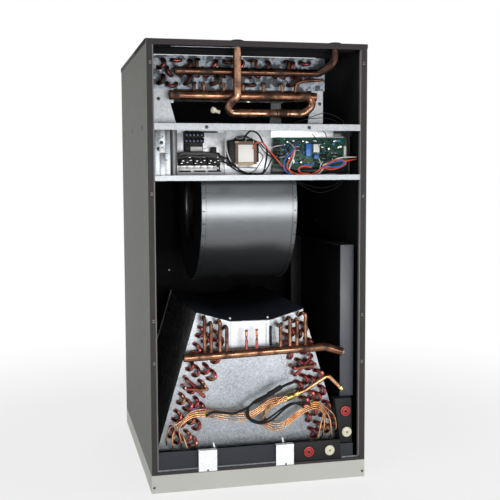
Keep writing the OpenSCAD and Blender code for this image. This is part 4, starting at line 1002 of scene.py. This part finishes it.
# Side sheet with its rolled inlet ring, seam lip and foot
def buildHousingSide(side):
    wall = blower["left"] if side < 0 else blower["right"]
    bell, sheet, around = blower["bell"], blower["sheet"], blower["around"]
    rim = 2 * sheet + 0.1  # the lip stands just clear of the scroll sheet
    outline = scrollLine(rim)
    cutY = scrollLine(0)[0][0] - 0.05
    outline += [(cutY, blower["deck"]), (cutY, outline[0][1])]
    hole = blower["inlet"] + bell
    circle = [(blower["y"] + hole * math.cos(2 * math.pi * k / around),
               blower["z"] + hole * math.sin(2 * math.pi * k / around)) for k in range(around)]
    corners = len(outline)
    edges = [(k, (k + 1) % corners) for k in range(corners)]
    edges += [(corners + k, corners + (k + 1) % around) for k in range(around)]
    piece = shape([(wall, y, z) for y, z in outline + circle], [], edges)
    pick(piece)
    bpy.ops.object.mode_set(mode="EDIT")
    bpy.ops.mesh.select_all(action="SELECT")
    bpy.ops.mesh.fill()
    bpy.ops.mesh.extrude_region_move(TRANSFORM_OT_translate={"value": (-side * sheet * 0.001, 0, 0)})
    bpy.ops.mesh.select_all(action="SELECT")
    bpy.ops.mesh.normals_make_consistent(inside=False)
    bpy.ops.object.mode_set(mode="OBJECT")
    parts = [piece]
    turns = [math.radians(a) for a in range(0, 91, 10)]
    profile = [(hole - bell * math.sin(a), bell * (1 - math.cos(a))) for a in turns]
    back = [(r + sheet * math.sin(a), d + sheet * math.cos(a)) for (r, d), a in zip(profile, turns)]
    loop = profile + back[::-1]
    points = [(wall - side * d, blower["y"] + r * math.cos(2 * math.pi * k / around),
               blower["z"] + r * math.sin(2 * math.pi * k / around))
              for k in range(around) for r, d in loop]
    n = len(loop)
    faces = []
    for k in range(around):
        here, beyond = k * n, (k + 1) % around * n
        faces += [(here + i, here + (i + 1) % n, beyond + (i + 1) % n, beyond + i) for i in range(n)]
    parts.append(faceOut(shape(points, faces)))
    lip = sorted((wall, wall - side * blower["lip"]))
    parts.append(scrollBand(lip, sheet + 0.1, rim))
    foot = sorted((wall, wall + side * blower["foot"]))
    parts.append(block((foot[0], scrollLine(0)[-1][0] + 2, blower["deck"] - sheet),
                       (foot[1], cutY - 2, blower["deck"]), 0.3))
    return joinAll(parts)


# Punch marks and lance tabs along both seam lips, as small black blocks: painted shade of the dimples
def buildSeamMarks():
    path = scrollLine(2.6)
    spots = []
    run = 0
    for (y0, z0), (y1, z1) in zip(path, path[1:]):
        run += math.hypot(y1 - y0, z1 - z0)
        if run > blower["markGap"]:
            run = 0
            spots.append((y1, z1, math.atan2(z1 - z0, y1 - y0)))
    tab = block((-2.6, -2, -0.5), (2.6, 2, 0.5), 0.3)
    places = []
    for x in (blower["left"] + 6, blower["right"] - 6):
        for y, z, turn in spots:
            places.append(move(x, y, z) @ Matrix.Rotation(turn, 4, "X"))
    return copies(tab, places)


sheet = blower["sheet"]
dress(scrollBand((blower["left"] + sheet, blower["right"] - sheet), 0, sheet), "scrollSheet",
      "brushedZinc", instead=("scroll_sheet",))
for side, hand in ((-1, "Left"), (1, "Right")):
    dress(buildHousingSide(side), "housingSide" + hand, "brushedZinc",
          instead=(hand.lower() + "_housing_side",))
# Black bands beside each seam lip: painted shade of the seam grooves
grooves = [scrollBand((x, x + blower["groove"]), sheet, sheet + 0.3)
           for x in (blower["left"] + 12.4, blower["right"] - 13.5)]
dress(joinAll([buildSeamMarks()] + grooves), "seamMarks", "blackEnamel")
print("blower ready")


# Hot-water coil: heights of its headers and of the crossing run, columns of tubes from the left, and
# each stub's tube column with the place where it leaves its header
flat = {"front": -312, "low": 1155, "left": -298, "y": -341, "supply": 1135, "outlet": 1203,
        "run": 1086, "riser": -61, "pipeY": -366, "outX": 228, "top": 1288, "columns": 18,
        "pitch": 25.4, "rowGap": 22, "firstRow": 14.5, "pipe": 5.6, "stub": 5,
        "bends": ((6, 0.86), (9, 0.98), (3, 0.92)), "supplyEnd": 162, "taper": 18,
        "supplyStubs": {4: -181, 5: -153, 7: -95, 9: -40, 12: 21, 14: 77, 16: 117},
        "outletStubs": {4: -172, 10: 0, 14: 96}, "longStub": 16}


def flatTube(row, j):
    return (flat["left"] + flat["pitch"] * (j + 0.75 + (row % 2) / 2),
            flat["low"] + flat["firstRow"] + row * flat["rowGap"])


# Groups of three columns, with upright, slanted and level bends
def buildFlatBends():
    taken = {(0, j) for j in flat["supplyStubs"]} | {(3, j) for j in flat["outletStubs"]}
    pairs = []
    for j in range(0, flat["columns"], 3):
        wanted = [((0, j), (1, j)), ((2, j), (3, j)), ((3, j + 1), (3, j + 2)),
                  ((2, j + 1), (1, j + 1)), ((0, j + 1), (0, j + 2)), ((2, j + 2), (1, j + 2))]
        pairs += [(flatTube(*p), flatTube(*q)) for p, q in wanted if not taken & {p, q}]
    return joinAll([copies(buildBend(flat["pitch"], lean, reach, flat["pipe"]),
                           bendPlaces(pairs[k::3], flat["front"]))
                    for k, (lean, reach) in enumerate(flat["bends"])])


def buildFlatHeaders():
    y, face, supply, outlet, run = (flat[k] for k in ("y", "front", "supply", "outlet", "run"))
    pipeY, end = flat["pipeY"], flat["supplyEnd"]
    made = [rod((flat["left"] + 48, y, supply), (end, y, supply), 13.4, 0.2, 28),
            rod((end, y, supply), (end + flat["taper"], y, supply), 13.4, 0, 28, 12)]
    back = [(end, y, supply), (203, y, supply), (140, y, run), (-107, y, run),
            (flat["riser"], pipeY, 1131), (flat["riser"], pipeY, flat["top"])]
    made.append(tube(bendCorners(back, 19, 10), 12, 4))
    out = [(-212, y, outlet), (186, y, outlet), (flat["outX"], pipeY, 1229),
           (flat["outX"], pipeY, flat["top"])]
    dullAndShaded = [tube(bendCorners(out, 22, 10), 11.2, 4)]
    for j, x in flat["supplyStubs"].items():
        px, pz = flatTube(0, j)
        if j == flat["longStub"]:
            path = [(x, y, supply), (x, y - 2, 1160), (x + 6, y - 3, 1174), (x + 26, y - 3, 1180),
                    (x + 66, y - 3, 1183), (x + 78, y + 4, 1184), (x + 80, face, 1185)]
        else:
            path = [(x, y, supply), (x, y, pz - 14), (x, y + 1, pz - 3), (px, y + 10, pz + 1),
                    (px, face, pz)]
        made.append(tube(easeThrough(path, 5), flat["stub"], 3))
    for j, x in flat["outletStubs"].items():
        px, pz = flatTube(3, j)
        path = [(x, y, outlet), (x, y, pz - 10), (x, y + 2, pz - 1), (px, y + 10, pz + 1),
                (px, face, pz)]
        dullAndShaded.append(tube(easeThrough(path, 5), flat["stub"], 3))
    return joinAll(made), joinAll(dullAndShaded)


# Swaged joint on the crossing run and brazed rings round the stubs
def buildFlatRings():
    y, supply, outlet = flat["y"], flat["supply"], flat["outlet"]
    made = [ring((x, y, flat["run"]), (1, 0, 0), radius, 1.6)
            for x, radius in ((60, 12), (68, 12.3), (79, 12.3), (88, 12.3), (98, 12))]
    made.append(rod((68, y, flat["run"]), (88, y, flat["run"]), 13, 0.5, 28))
    for x in flat["supplyStubs"].values():
        made.append(ring((x, y, supply + 13), (0, 0, 1), 5.4, 1.3))
    for x in flat["outletStubs"].values():
        made.append(ring((x, y, outlet + 10.8), (0, 0, 1), 5.4, 1.3))
    made.append(rod((flat["left"] + 46.5, y, supply), (flat["left"] + 50, y, supply), 14, 0.8, 28))
    made.append(rod((-236, y, outlet), (-208, y, outlet), 12, 2.5, 28))
    return joinAll(made)


dress(buildFlatBends(), "flatCoilBends", "flatBendCopper", angle=60)
supplyPipes, outletPipes = buildFlatHeaders()
dress(supplyPipes, "supplyPipes", "headerCopper", instead=("heat_coil_pipes",), angle=60)
dress(outletPipes, "outletPipes", "dullShadedCopper", angle=60)
dress(buildFlatRings(), "flatCoilRings", "ringCopper")
bleedPlug = [rod((-122, -345.5, 1092), (-131.5, -349, 1095), 9, 0.8, 6),
             rod((-108, -341, 1088), (-123, -345.8, 1092.2), 5, 0.4)]
dress(joinAll(bleedPlug), "bleedPlug", "creamPlastic", instead=("vent_plug",))
print("hot-water coil ready")


# Roof: the liner's edge at the supply opening, the pale lip under the top rail, a tag on a bracket
roof = {"fringe": (((-302, -318, 1251), (240, -312.5, 1283), 1.5),
                   ((-302, -343, 1268), (302, -314, 1271.4), 1)),
        "lip": ((-252, -382, 1264.6), (-66, -379, 1266), 0.3),
        "tag": ((-29, -347.6, 1116), (-21, -346.8, 1119.6), 0.2)}
dress(block(*roof["tag"]), "lipTag", "whitePlastic")
dress(joinAll([block(*part) for part in roof["fringe"]]), "roofFringe", "liner")
dress(block(*roof["lip"]), "topLip", "zinc")

# Bent tabs of the door lugs on both posts, and the pins that hold the liners
posts = {"lugs": {-310.5: (378.2, 499.2, 857.8, 1219.8), 310.5: (353, 494, 845.8, 1229.8)},
         "tabs": ((-4.2, -0.8), (1.2, 4.2)), "tabHalf": 3.4, "front": -387, "rear": -384.8}
lugTabs = [block((x - posts["tabHalf"], posts["front"], z + low),
                 (x + posts["tabHalf"], posts["rear"], z + high), 0.2)
           for x, heights in posts["lugs"].items() for z in heights for low, high in posts["tabs"]]
dress(joinAll(lugTabs), "lugTabs", "lipGrey")
liners = {"side": 307.6, "back": 371, "pin": 3.4, "sideHeight": 1.6, "backHeight": 1.8,
          "right": ((62, 752), (-140, 560), (180, 980)), "left": ((-120, 700), (90, 900), (60, 560)),
          "rear": ((-160, 560), (120, 620), (-40, 690), (210, 940))}
pins = [rod((x, y, z), (x - math.copysign(liners["sideHeight"], x), y, z), liners["pin"], 0.5, 14)
        for x, spots in ((liners["side"], liners["right"]), (-liners["side"], liners["left"]))
        for y, z in spots]
pins += [rod((x, liners["back"], z), (x, liners["back"] - liners["backHeight"], z),
             liners["pin"], 0.5, 14) for x, z in liners["rear"]]
dress(joinAll(pins), "linerPins", "brightZinc")


# Control tray: the fronts of its back sheet and of the control board
tray = {"plate": -292.4, "board": -302.4}
terminals = {"left": -206, "right": -150, "low": 977, "high": 1036, "rows": (1018, 1001), "pitch": 11}


def buildTerminals():
    p, left, right = tray["plate"], terminals["left"], terminals["right"]
    parts = [block((left, p - 10, terminals["low"]), (right, p, terminals["high"]), 0.8)]
    for row, z in enumerate(terminals["rows"]):
        y = p - 30 + row * 4
        parts.append(block((left, y, z), (right, p - 8, z + 3), 0.4))
        for k in range(6):
            x = left + k * terminals["pitch"]
            parts.append(block((x, y, z), (x + 1.6, p - 8, z + 15), 0.3))
    parts.append(block((-204, p - 20, 976), (-188, p - 4, 996), 0.6))
    # black bar under the tray's top flange: painted shadow
    parts.append(block((-205, p - 12, 1031), (-106, p - 9, 1035), 0.3))
    return joinAll(parts)


def buildTerminalScrews():
    p, parts = tray["plate"], []
    for row, low in enumerate(terminals["rows"]):
        y = p - 24 + row * 4
        for k in range(5):
            x, z = terminals["left"] + 6.5 + k * terminals["pitch"], low + 7
            parts.append(rod((x, y, z), (x, p - 8, z), 3.6, 0.6, 14))
            parts.append(block((x - 3, y - 1, z - 0.5), (x + 3, y + 2, z + 0.5), 0.1))
    return joinAll(parts)


def buildWhiteStrip():
    p = tray["plate"]
    return joinAll([block((-190, p - 17, 977), (-153, p - 3, 991), 0.8)]
                   + [ring((-185 + k * 7, p - 17, 984), (0, 1, 0), 2.3, 0.6) for k in range(5)])


# Three relays on a slotted base, with spade terminals on their fronts
relays = {"left": -222, "pitch": 40, "wide": 38, "low": 938, "high": 970, "pads": (3, 21),
          "slots": ((-219, 34), (-176, 34), (-135, 40)),
          "spades": ((8, 950), (20, 946), (30, 951), (12, 961), (27, 960), (4, 943)), "feet": 20.4}


def buildRelays():
    p, low, high = tray["plate"], relays["low"], relays["high"]
    parts = [block((-223, p - 10, low - 2), (-101, p - 1, high + 4), 0.8)]
    for k in range(3):
        x = relays["left"] + relays["pitch"] * k
        parts.append(block((x, p - 37, low), (x + relays["wide"], p - 4, high), 1.6, 3))
        parts += [block((x + pad, p - 41, low + 3), (x + pad + 13, p - 36, low + 18), 0.5)
                  for pad in relays["pads"]]
        parts.append(block((x + 16, p - 43, low), (x + 21, p - 36, high - 2), 0.5))
    parts += [block((x, p - 4, 918), (x + wide, p - 0.4, 922.5), 0.3) for x, wide in relays["slots"]]
    parts.append(block((-108, p - 5, 918), (-99, p - 0.4, 972), 0.4))
    parts.append(block((-128, p - 20, 970), (-112, p - 3, 990), 0.8))
    parts.append(block((-196, p - 12, 972), (-182, p - 1, 980), 0.8))
    return joinAll(parts)


def buildSpades():
    p, parts = tray["plate"], []
    for k in range(3):
        for shift, z in relays["spades"]:
            x = relays["left"] + relays["pitch"] * k + shift
            parts.append(block((x - 2.8, p - 47, z - 0.8), (x + 2.8, p - 37, z + 0.8), 0.15))
            parts.append(rod((x, p - 44.5, z - 0.9), (x, p - 44.5, z + 0.9), 1.2, 0.2, 10))
    return joinAll(parts)


def buildRelayBase():
    p, parts = tray["plate"], []
    for k in range(6):
        x = relays["left"] + 2 + relays["feet"] * k
        parts.append(block((x, p - 9, 926), (x + 15, p - 0.4, 932), 0.5))
        parts.append(block((x + 3, p - 11, 930), (x + 7, p - 8, 935), 0.3))
    return joinAll(parts)


# Sleeve braided round the wires over the relays and a thin one before it: radius, roundness and
# route as (x, distance before the back sheet, z)
sleeves = (
    (5.6, 4, ((-229, 28, 948), (-229, 36, 962), (-214, 42, 971), (-186, 44, 970), (-156, 44, 971),
              (-128, 42, 968), (-108, 38, 962), (-94, 34, 955))),
    (2.6, 3, ((-226, 40, 958), (-200, 48, 963), (-170, 49, 961), (-140, 48, 963), (-112, 44, 958),
              (-96, 40, 951))))


def buildSleeve():
    parts = []
    for radius, roundness, route in sleeves:
        path = easeThrough([(x, tray["plate"] - out, z) for x, out, z in route])
        parts.append(tube(path, radius, roundness))
    return joinAll(parts)


transformer = {"left": -61, "right": 2, "low": 940, "high": 1006, "leaves": 11, "leafGap": 3.4,
               "footScrews": (-50, -8)}


def buildTransformer():
    p, low, high = tray["plate"], transformer["low"], transformer["high"]
    left, right, gap = transformer["left"], transformer["right"], transformer["leafGap"]
    core = [block((left, p - 44 + gap * k, low), (right, p - 41.4 + gap * k, high), 0.25, 1)
            for k in range(transformer["leaves"])]
    core.append(block((left + 3, p - 42, low + 3), (right - 3, p - 8, high - 3), 0.6))
    winding = [block((-81, p - 40, 934), (-57, p - 8, 1010), 5, 4),
               block((-2, p - 38, 946), (10, p - 10, 1002), 4, 3),
               block((-66, p - 30, 1000), (0, p - 10, 1012), 2, 3)]
    paper = [block((-53, p - 46.4, 946), (-8, p - 44, 996), 0.3)]
    card = [block((-54, p - 46.8, 936), (-8, p - 43.5, 945), 0.5),
            block((-63, p - 46, 1002), (-52, p - 43, 1006), 0.3),
            block((-64, p - 45.6, 939), (-60, p - 3, 944), 0.4)]
    foot = [block((-64, p - 40, 928), (6, p - 1, 930.4), 0.5)]
    foot += [rod((x, p - 38, 929), (x, p - 38, 932.5), 2.6, 0.4, 12)
             for x in transformer["footScrews"]]
    return [joinAll(parts) for parts in (core, winding, paper, card, foot)]


# Control board: cans as (x, z, radius), chips as (x, z, width, height), small parts scattered
board = {"left": 60, "right": 284, "low": 932, "high": 1018, "thick": 1.6, "holes": 8,
         "cans": ((106, 958, 5), (118, 952, 4), (142, 946, 4.4), (214, 1002, 3.4), (228, 986, 4),
                  (244, 1008, 3.2), (258, 990, 3.6), (100, 1006, 3.4), (148, 1008, 3)),
         "chips": ((122, 982, 20, 9), (206, 958, 16, 12), (86, 984, 12, 12), (238, 964, 18, 8)),
         "sizes": ((2.5, 1.5), (4, 2), (6, 3), (3, 6), (8, 5)), "small": 210}


def buildBoardParts():
    b = tray["board"] - board["thick"]
    random.seed(7)
    black = [block((62, b - 11, 940 + 10.5 * k), (78, b, 947.5 + 10.5 * k), 0.5) for k in range(7)]
    silver = []
    for x, z, r in board["cans"]:
        black.append(rod((x, b - 9 - r, z), (x, b, z), r, 0.8, 18))
        silver.append(rod((x, b - 9.3 - r, z), (x, b - 9 - r, z), r * 0.8, 0.1, 18))
    blue = []
    for k in range(board["small"]):
        x = random.uniform(84, 272)
        z = random.uniform(938, 1012)
        w, h = random.choice(board["sizes"])
        group = random.choice((black, black, black, black, silver, black, blue))
        group.append(block((x, b - random.uniform(1.2, 4), z), (x + w, b, z + h), 0.2, 1))
    for x, z, w, h in board["chips"]:
        black.append(block((x, b - 4, z), (x + w, b, z + h), 0.4))
        silver += [block((x + 1 + k * 2.5, b - 2, z - 1.6), (x + 2 + k * 2.5, b, z + h + 1.6), 0.1, 1)
                   for k in range(int(w / 2.5))]
    white = [block((178, b - 19, 975), (197, b, 999), 0.9),
             block((276, b - 10, 962), (283, b, 994), 0.6)]
    blue += [block((156, b - 19, 963), (172, b, 999), 0.9),
             block((182, b - 14, 956), (196, b, 968), 0.8),
             block((160, b - 20, 972), (168, b - 18.6, 990), 0.2)]
    return [joinAll(parts) for parts in (black, silver, white, blue)]


def buildBoardSheet():
    back, gap = tray["board"], board["holes"]
    left, right, low, high = (board[k] for k in ("left", "right", "low", "high"))
    parts = [block((left, back - board["thick"], low), (right, back, high), 0.3)]
    parts += [rod((x, back, z), (x, tray["plate"] + 1, z), 3, 0.3, 12)
              for x in (left + gap, right - gap) for z in (low + gap, high - gap)]
    return joinAll(parts)


# Wires: radius, depth, and the route as (x, z) or, where it leaves that depth, (x, z, depth)
def wires(routes):
    return joinAll([tube(easeThrough([(x, *(own or [depth]), z) for x, z, *own in route]), radius, 2)
                    for radius, depth, route in routes])


strands = {
    "blackStrands": ("blackWire", "black_wire", ("black_wires",), [
        (2.6, -338, [(-112, 962, -333), (-104, 961), (-86, 955), (-68, 938), (-39, 918), (-12, 912),
                     (18, 914), (27, 938), (33, 981), (21, 1001), (6, 1027), (-15, 1036), (-32, 1021),
                     (-40, 1004, -330)]),
        (2.2, -343, [(-112, 950, -334), (-89, 944), (-71, 929), (-48, 918), (-20, 908), (10, 906),
                     (30, 926), (44, 952), (66, 968, -316)]),
        (1.5, -340, [(-60, 1012, -322), (-40, 1018), (-12, 1012), (8, 996), (26, 974), (48, 960),
                     (66, 957, -316)]),
        (1.5, -334, [(-62, 1006, -322), (-30, 1012), (2, 1006), (28, 984), (50, 968),
                     (68, 978, -316)]),
        (1.3, -346, [(4, 978, -338), (18, 962), (6, 938), (-8, 920), (-26, 914, -340)]),
        (0.7, -342, [(124, 888, -345), (161, 876), (194, 870), (228, 875), (256, 890, -345)]),
        (0.7, -348, [(118, 888, -345), (161, 864), (194, 857), (232, 866), (262, 888, -345)]),
        # the next three thick strands along the tray floor under the board: black wires, laid there also
        # as painted shade
        (3.4, -322, [(96, 918), (140, 905), (200, 903), (262, 908), (286, 920)]),
        (3.0, -318, [(104, 926), (150, 916), (210, 914), (280, 922)]),
        (2.6, -312, [(98, 910), (150, 924), (220, 925), (276, 914)]),
        (1.7, -336, [(14, 1000, -330), (34, 978), (58, 960), (84, 966, -318)]),
        (1.4, -330, [(-62, 1012, -322), (-56, 1018), (-34, 1022), (-16, 1016), (4, 1004)]),
        (1.2, -352, [(130, 1062, -330), (166, 1078), (203, 1088), (234, 1080), (259, 1066),
                     (270, 1057, -330)]),
        (1.1, -345, [(110, 1058, -330), (150, 1070), (205, 1074), (240, 1066), (262, 1056, -330)]),
        (1.3, -318, [(84, 976), (92, 966), (104, 990), (120, 1006)]),
        (1.3, -320, [(176, 1002), (188, 988), (207, 970), (214, 950)]),
        (1.3, -322, [(206, 1004), (222, 997), (244, 982), (235, 962), (216, 948)]),
        (1.2, -318, [(196, 1004), (204, 986), (220, 968), (218, 946)]),
        (1.2, -322, [(180, 1030, -300), (186, 1014), (196, 990), (208, 968)]),
        (1.2, -324, [(212, 1042, -298), (214, 1030), (220, 1016), (236, 1000)])]),
    "whiteStrands": ("whiteWire", "white_wire", ("white_wires",), [
        (1.5, -336, [(-84, 1034, -316), (-90, 1004), (-84, 970), (-71, 941), (-58, 926, -320)]),
        (1.3, -326, [(-152, 984, -312), (-140, 988), (-118, 994), (-92, 997, -318)]),
        (1.3, -332, [(24, 958), (36, 981), (60, 992), (86, 996, -318)]),
        (1.9, -344, [(104, 1004, -316), (113, 988), (112, 966), (103, 940), (98, 922), (112, 905),
                     (136, 901), (164, 901), (190, 914), (210, 932), (236, 930), (258, 936),
                     (270, 948)]),
        (1.9, -346, [(199, 936), (224, 946), (246, 956), (270, 960), (306, 960, -340)]),
        (1.2, -338, [(190, 956), (196, 940), (193, 926), (196, 938), (202, 948)]),
        (1.2, -318, [(62, 964), (76, 960), (90, 963), (102, 974)]),
        (1.2, -334, [(-34, 1004, -340), (-24, 1016), (-10, 1014), (-8, 1000, -340)])]),
    "redStrands": ("redWire", "red_wire", ("signal_wires",), [
        (2.0, -342, [(-10, 984, -340), (-2, 1000), (18, 1001), (36, 981), (57, 958), (78, 934),
                     (92, 924, -330)]),
        (2.4, -348, [(130, 1004, -316), (114, 984), (102, 960), (90, 935), (102, 918), (130, 909),
                     (164, 909), (194, 926), (222, 945), (247, 953), (266, 948), (269, 940),
                     (249, 929), (224, 924), (197, 930)]),
        (2.0, -344, [(266, 946), (284, 951), (306, 954, -340)]),
        (2.2, -349, [(164, 930), (140, 934), (124, 926), (132, 914), (158, 912)])]),
    "blueStrands": ("blueWire", "dark_blue_plastic", (), [
        (2.0, -351, [(133, 1006, -316), (110, 982), (84, 954), (80, 929), (92, 914), (112, 906)]),
        (2.0, -351, [(196, 932), (222, 930), (247, 933), (264, 941), (258, 949), (236, 946),
                     (214, 938)]),
        (1.7, -346, [(168, 934), (146, 938), (128, 930), (130, 920)]),
        (1.2, -330, [(84, 1000, -316), (92, 982), (94, 958, -318)])]),
}

# Slots in the cover of the tray's left end, as (x, z, half width, half height), and the catch's ring
endSlots = ((-284, 1019, 3, 0.8), (-277, 1018, 3.4, 0.8), (-281, 1014, 5, 0.7), (-266, 970, 5, 0.8),
            (-266, 952, 4.6, 0.7), (-289.5, 983, 3.4, 5), (-296, 1031, 2, 1.2))


def buildEndSlots():
    parts = [block((x - w, -376, z - h), (x + w, -375.4, z + h), 0.1) for x, z, w, h in endSlots]
    return joinAll(parts + [ring((-278, -378.2, 982), (0, 1, 0), 4.4, 0.5)])


# Sheets of the tray, each with its edge's radius: the darker cover of the left end, the board's
# black tray, the relays' carrier and the pale back
traySheets = {
    "endCover": (0.1, [((-300, -375.6, 896), (-286, -375, 1041.6)),
                       ((-286, -375.6, 896), (-270, -375, 972)),
                       ((-286, -375.6, 992), (-270, -375, 1041.6)),
                       ((-270, -375.6, 896), (-256, -375, 1041.6))]),
    "boardTray": (0.8, [((56, -300, 912), (296, -294, 938)), ((284.6, -300, 938), (297, -293, 1040)),
                        ((250, -299, 1022), (284, -293, 1038))]),
    "carrierPlate": (0.3, [((-227, -293.4, 914), (-86, -292.4, 1031))]),
    "backPlate": (0.2, [((-84, -293, 897), (56, -292.4, 1050)), ((56, -293, 1019), (250, -292.4, 1050))])}


def buildSheets(name):
    edge, sheets = traySheets[name]
    return joinAll([block(*corners, edge) for corners in sheets])


dress(buildSheets("endCover"), "endCover", "endZinc")
dress(buildEndSlots(), "endSlots", "blackPlastic")
dress(buildSheets("boardTray"), "boardTray", "blackEnamel")
dress(buildSheets("carrierPlate"), "carrierPlate", "whiteZinc")
dress(buildSheets("backPlate"), "backPlate", "whiteZinc")
dress(buildTerminals(), "terminalBody", "blackPlastic", instead=("terminal_block",))
dress(buildTerminalScrews(), "terminalScrews", "slateSteel")
dress(buildWhiteStrip(), "terminalStrip", "whitePlastic")
dress(buildRelays(), "relays", "blackPlastic", instead=("relay_bank",))
dress(buildSpades(), "spades", "steel")
dress(buildRelayBase(), "relayBase", "whitePlastic")
dress(buildSleeve(), "braidedSleeve", "braid", angle=70)
core, winding, paper, card, foot = buildTransformer()
dress(core, "transformerCore", "laminations", instead=("transformer",))
dress(winding, "transformerCoil", "blackPlastic", angle=60)
dress(paper, "transformerPaper", "paper")
dress(card, "transformerStrip", "tanCard")
dress(foot, "transformerFoot", "brightZinc")
dress(buildBoardSheet(), "boardSheet", "board", instead=("control_board",))
for piece, (name, paint, slot) in zip(buildBoardParts(), (
        ("boardBlack", "blackPlastic", "black_plastic"), ("boardSilver", "steel", "bright_steel"),
        ("boardWhite", "whitePlastic", "white_plastic"),
        ("boardBlue", "bluePlastic", "dark_blue_plastic"))):
    dress(piece, name, paint)
for name, (paint, slot, instead, routes) in strands.items():
    dress(wires(routes), name, paint, instead=instead, angle=70)
print("control tray ready")


# Drain plugs as (x, z, y) of their outer face, and the pans' shells
plugs = {"red": ((147, 88, -381), (265, 201, -370)), "cream": ((212, 88, -381), (269, 137, -370)),
         "radius": 15, "thread": 12.8, "collar": 16.6,
         "frame": ((-5, 0, 0.7, 5.4), (5, 0, 0.7, 5.4), (0, -5, 5.4, 0.7), (0, 5, 5.4, 0.7)),
         "raised": ((1.6, 3.2), (3.2, 1.2)), "black": ((0.8, 3.6), (3.4, 0.8))}
uprightPan = {"left": 254, "right": 296, "front": -350, "rear": 200, "low": 241.3, "high": 700,
              "wall": 4}
lowPort = (((101, -381, 60.3), (247, -375, 118), 2, 3), ((104, -382.4, 62), (247, -380.6, 66), 0.6))
slantPort = {"corners": [(249, 103), (287, 103), (285, 241), (231, 241)], "front": -370,
             "rear": -331.8}


# Crossed bars on a cream plug's face, each as half its width and half its height
def buildCross(x, z, near, far, bars, edge):
    return [block((x - w, near, z - h), (x + w, far, z + h), edge) for w, h in bars]


def buildPlug(place, red):
    x, z, y = place
    parts = [rod((x, y - 4.5, z), (x, y, z), plugs["radius"], 1.2, 32),
             rod((x, y, z), (x, y + 11, z), plugs["thread"], 0.5, 24),
             ring((x, y - 4.6, z), (0, 1, 0), 12.4, 0.9)]
    if red:
        parts.append(ring((x, y - 4.6, z), (0, 1, 0), 8.2, 0.8))
        for dx, dz, w, h in plugs["frame"]:
            parts.append(block((x + dx - w, y - 6, z + dz - h), (x + dx + w, y - 4, z + dz + h), 0.25))
    else:
        parts.append(ring((x, y - 4.6, z), (0, 1, 0), 4.2, 0.8))
        parts += buildCross(x, z, y - 6.2, y - 4, plugs["raised"], 0.5)
    return joinAll(parts)


# The black recess in a red plug and the cross in a cream one
def buildPlugMarks():
    marks = []
    for x, z, y in plugs["red"]:
        marks.append(ring((x, y - 4.7, z), (0, 1, 0), 10.3, 0.9))
        marks.append(block((x - 4.4, y - 5.4, z - 4.4), (x + 4.4, y - 4.2, z + 4.4), 0.5))
    for x, z, y in plugs["cream"]:
        marks += buildCross(x, z, y - 6.6, y - 5.6, plugs["black"], 0.2)
    return joinAll(marks)


def buildUprightPan():
    left, right, front, rear, low, high, wall = (
        uprightPan[k] for k in ("left", "right", "front", "rear", "low", "high", "wall"))
    # one pan in two colours: the face blue-grey, the shell black as painted shade
    face = block((left, front, low), (right, front + wall, high), 1.2, 3)
    shell = [block((right - wall, front + 3, low), (right, rear, high), 0.6),
             block((left, front + 3, high - wall), (right - 3, rear, high), 0.6),
             block((left, rear - wall, low), (right - 3, rear, high - 3), 0.6),
             block((left, front + 3, low), (right - 3, rear - 3, low + wall), 0.6)]
    return face, joinAll(shell)


def buildPortBlocks():
    low = joinAll([block(*part) for part in lowPort])
    slant = roundEdges(wedge(slantPort["corners"], slantPort["front"], slantPort["rear"]), 2.2, 3)
    collars = [ring((x, y + 0.2, z), (0, 1, 0), plugs["collar"], 1.4)
               for x, z, y in plugs["red"] + plugs["cream"]]
    return joinAll([low, slant] + collars)


# Screws as (x, y, z, radius), each with a hexagon and a slot
screws = {"cabinet": ((-314, -385, 17, 3.5), (314, -385, 17, 3.5), (-154, -385, 1043.8, 5.2),
                      (146, -385, 1043.8, 5.2), (-279, -312, 1126, 5.2), (200, -312, 1117, 5.2),
                      (-280, -375.6, 1000, 5.2), (-158, -385, 57, 3), (76, -385, 57, 3)),
          "coil": ((-80.7, -338.3, 491, 3), (32.5, -338.3, 490, 3))}


def buildScrews(spots):
    parts = []
    for x, y, z, r in spots:
        parts += [rod((x, y - 1.7, z), (x, y, z), r, 0.7, 20),
                  rod((x, y - 2.3, z), (x, y - 1, z), r * 0.66, 0.4, 6),
                  block((x - r * 0.5, y - 2.5, z - 0.4), (x + r * 0.5, y - 1.8, z + 0.4), 0.1)]
    return joinAll(parts)


dress(buildPlugMarks(), "plugMarks", "blackPlastic")
dress(joinAll([buildPlug(p, True) for p in plugs["red"]]), "redPlugs", "redPlastic",
      instead=("red_drain_plugs",))
dress(joinAll([buildPlug(p, False) for p in plugs["cream"]]), "creamPlugs", "creamPlastic",
      instead=("cream_drain_plugs",))
panFace, panShell = buildUprightPan()
dress(panFace, "uprightPanFace", "blueGreyPlastic",
      instead=("side_drain_pan",))
# the shell is black as painted shade of the pan's inside
dress(panShell, "uprightPanShadedShell", "blackPlastic")
dress(buildPortBlocks(), "portBlocks", "blackPlastic", instead=("port_blocks",))
dress(buildScrews(screws["cabinet"]), "screws", "blackEnamel",
      instead=("cabinet_screws",))
dress(buildScrews(screws["coil"]), "coilScrews", "whitePlastic")
print("trim ready")
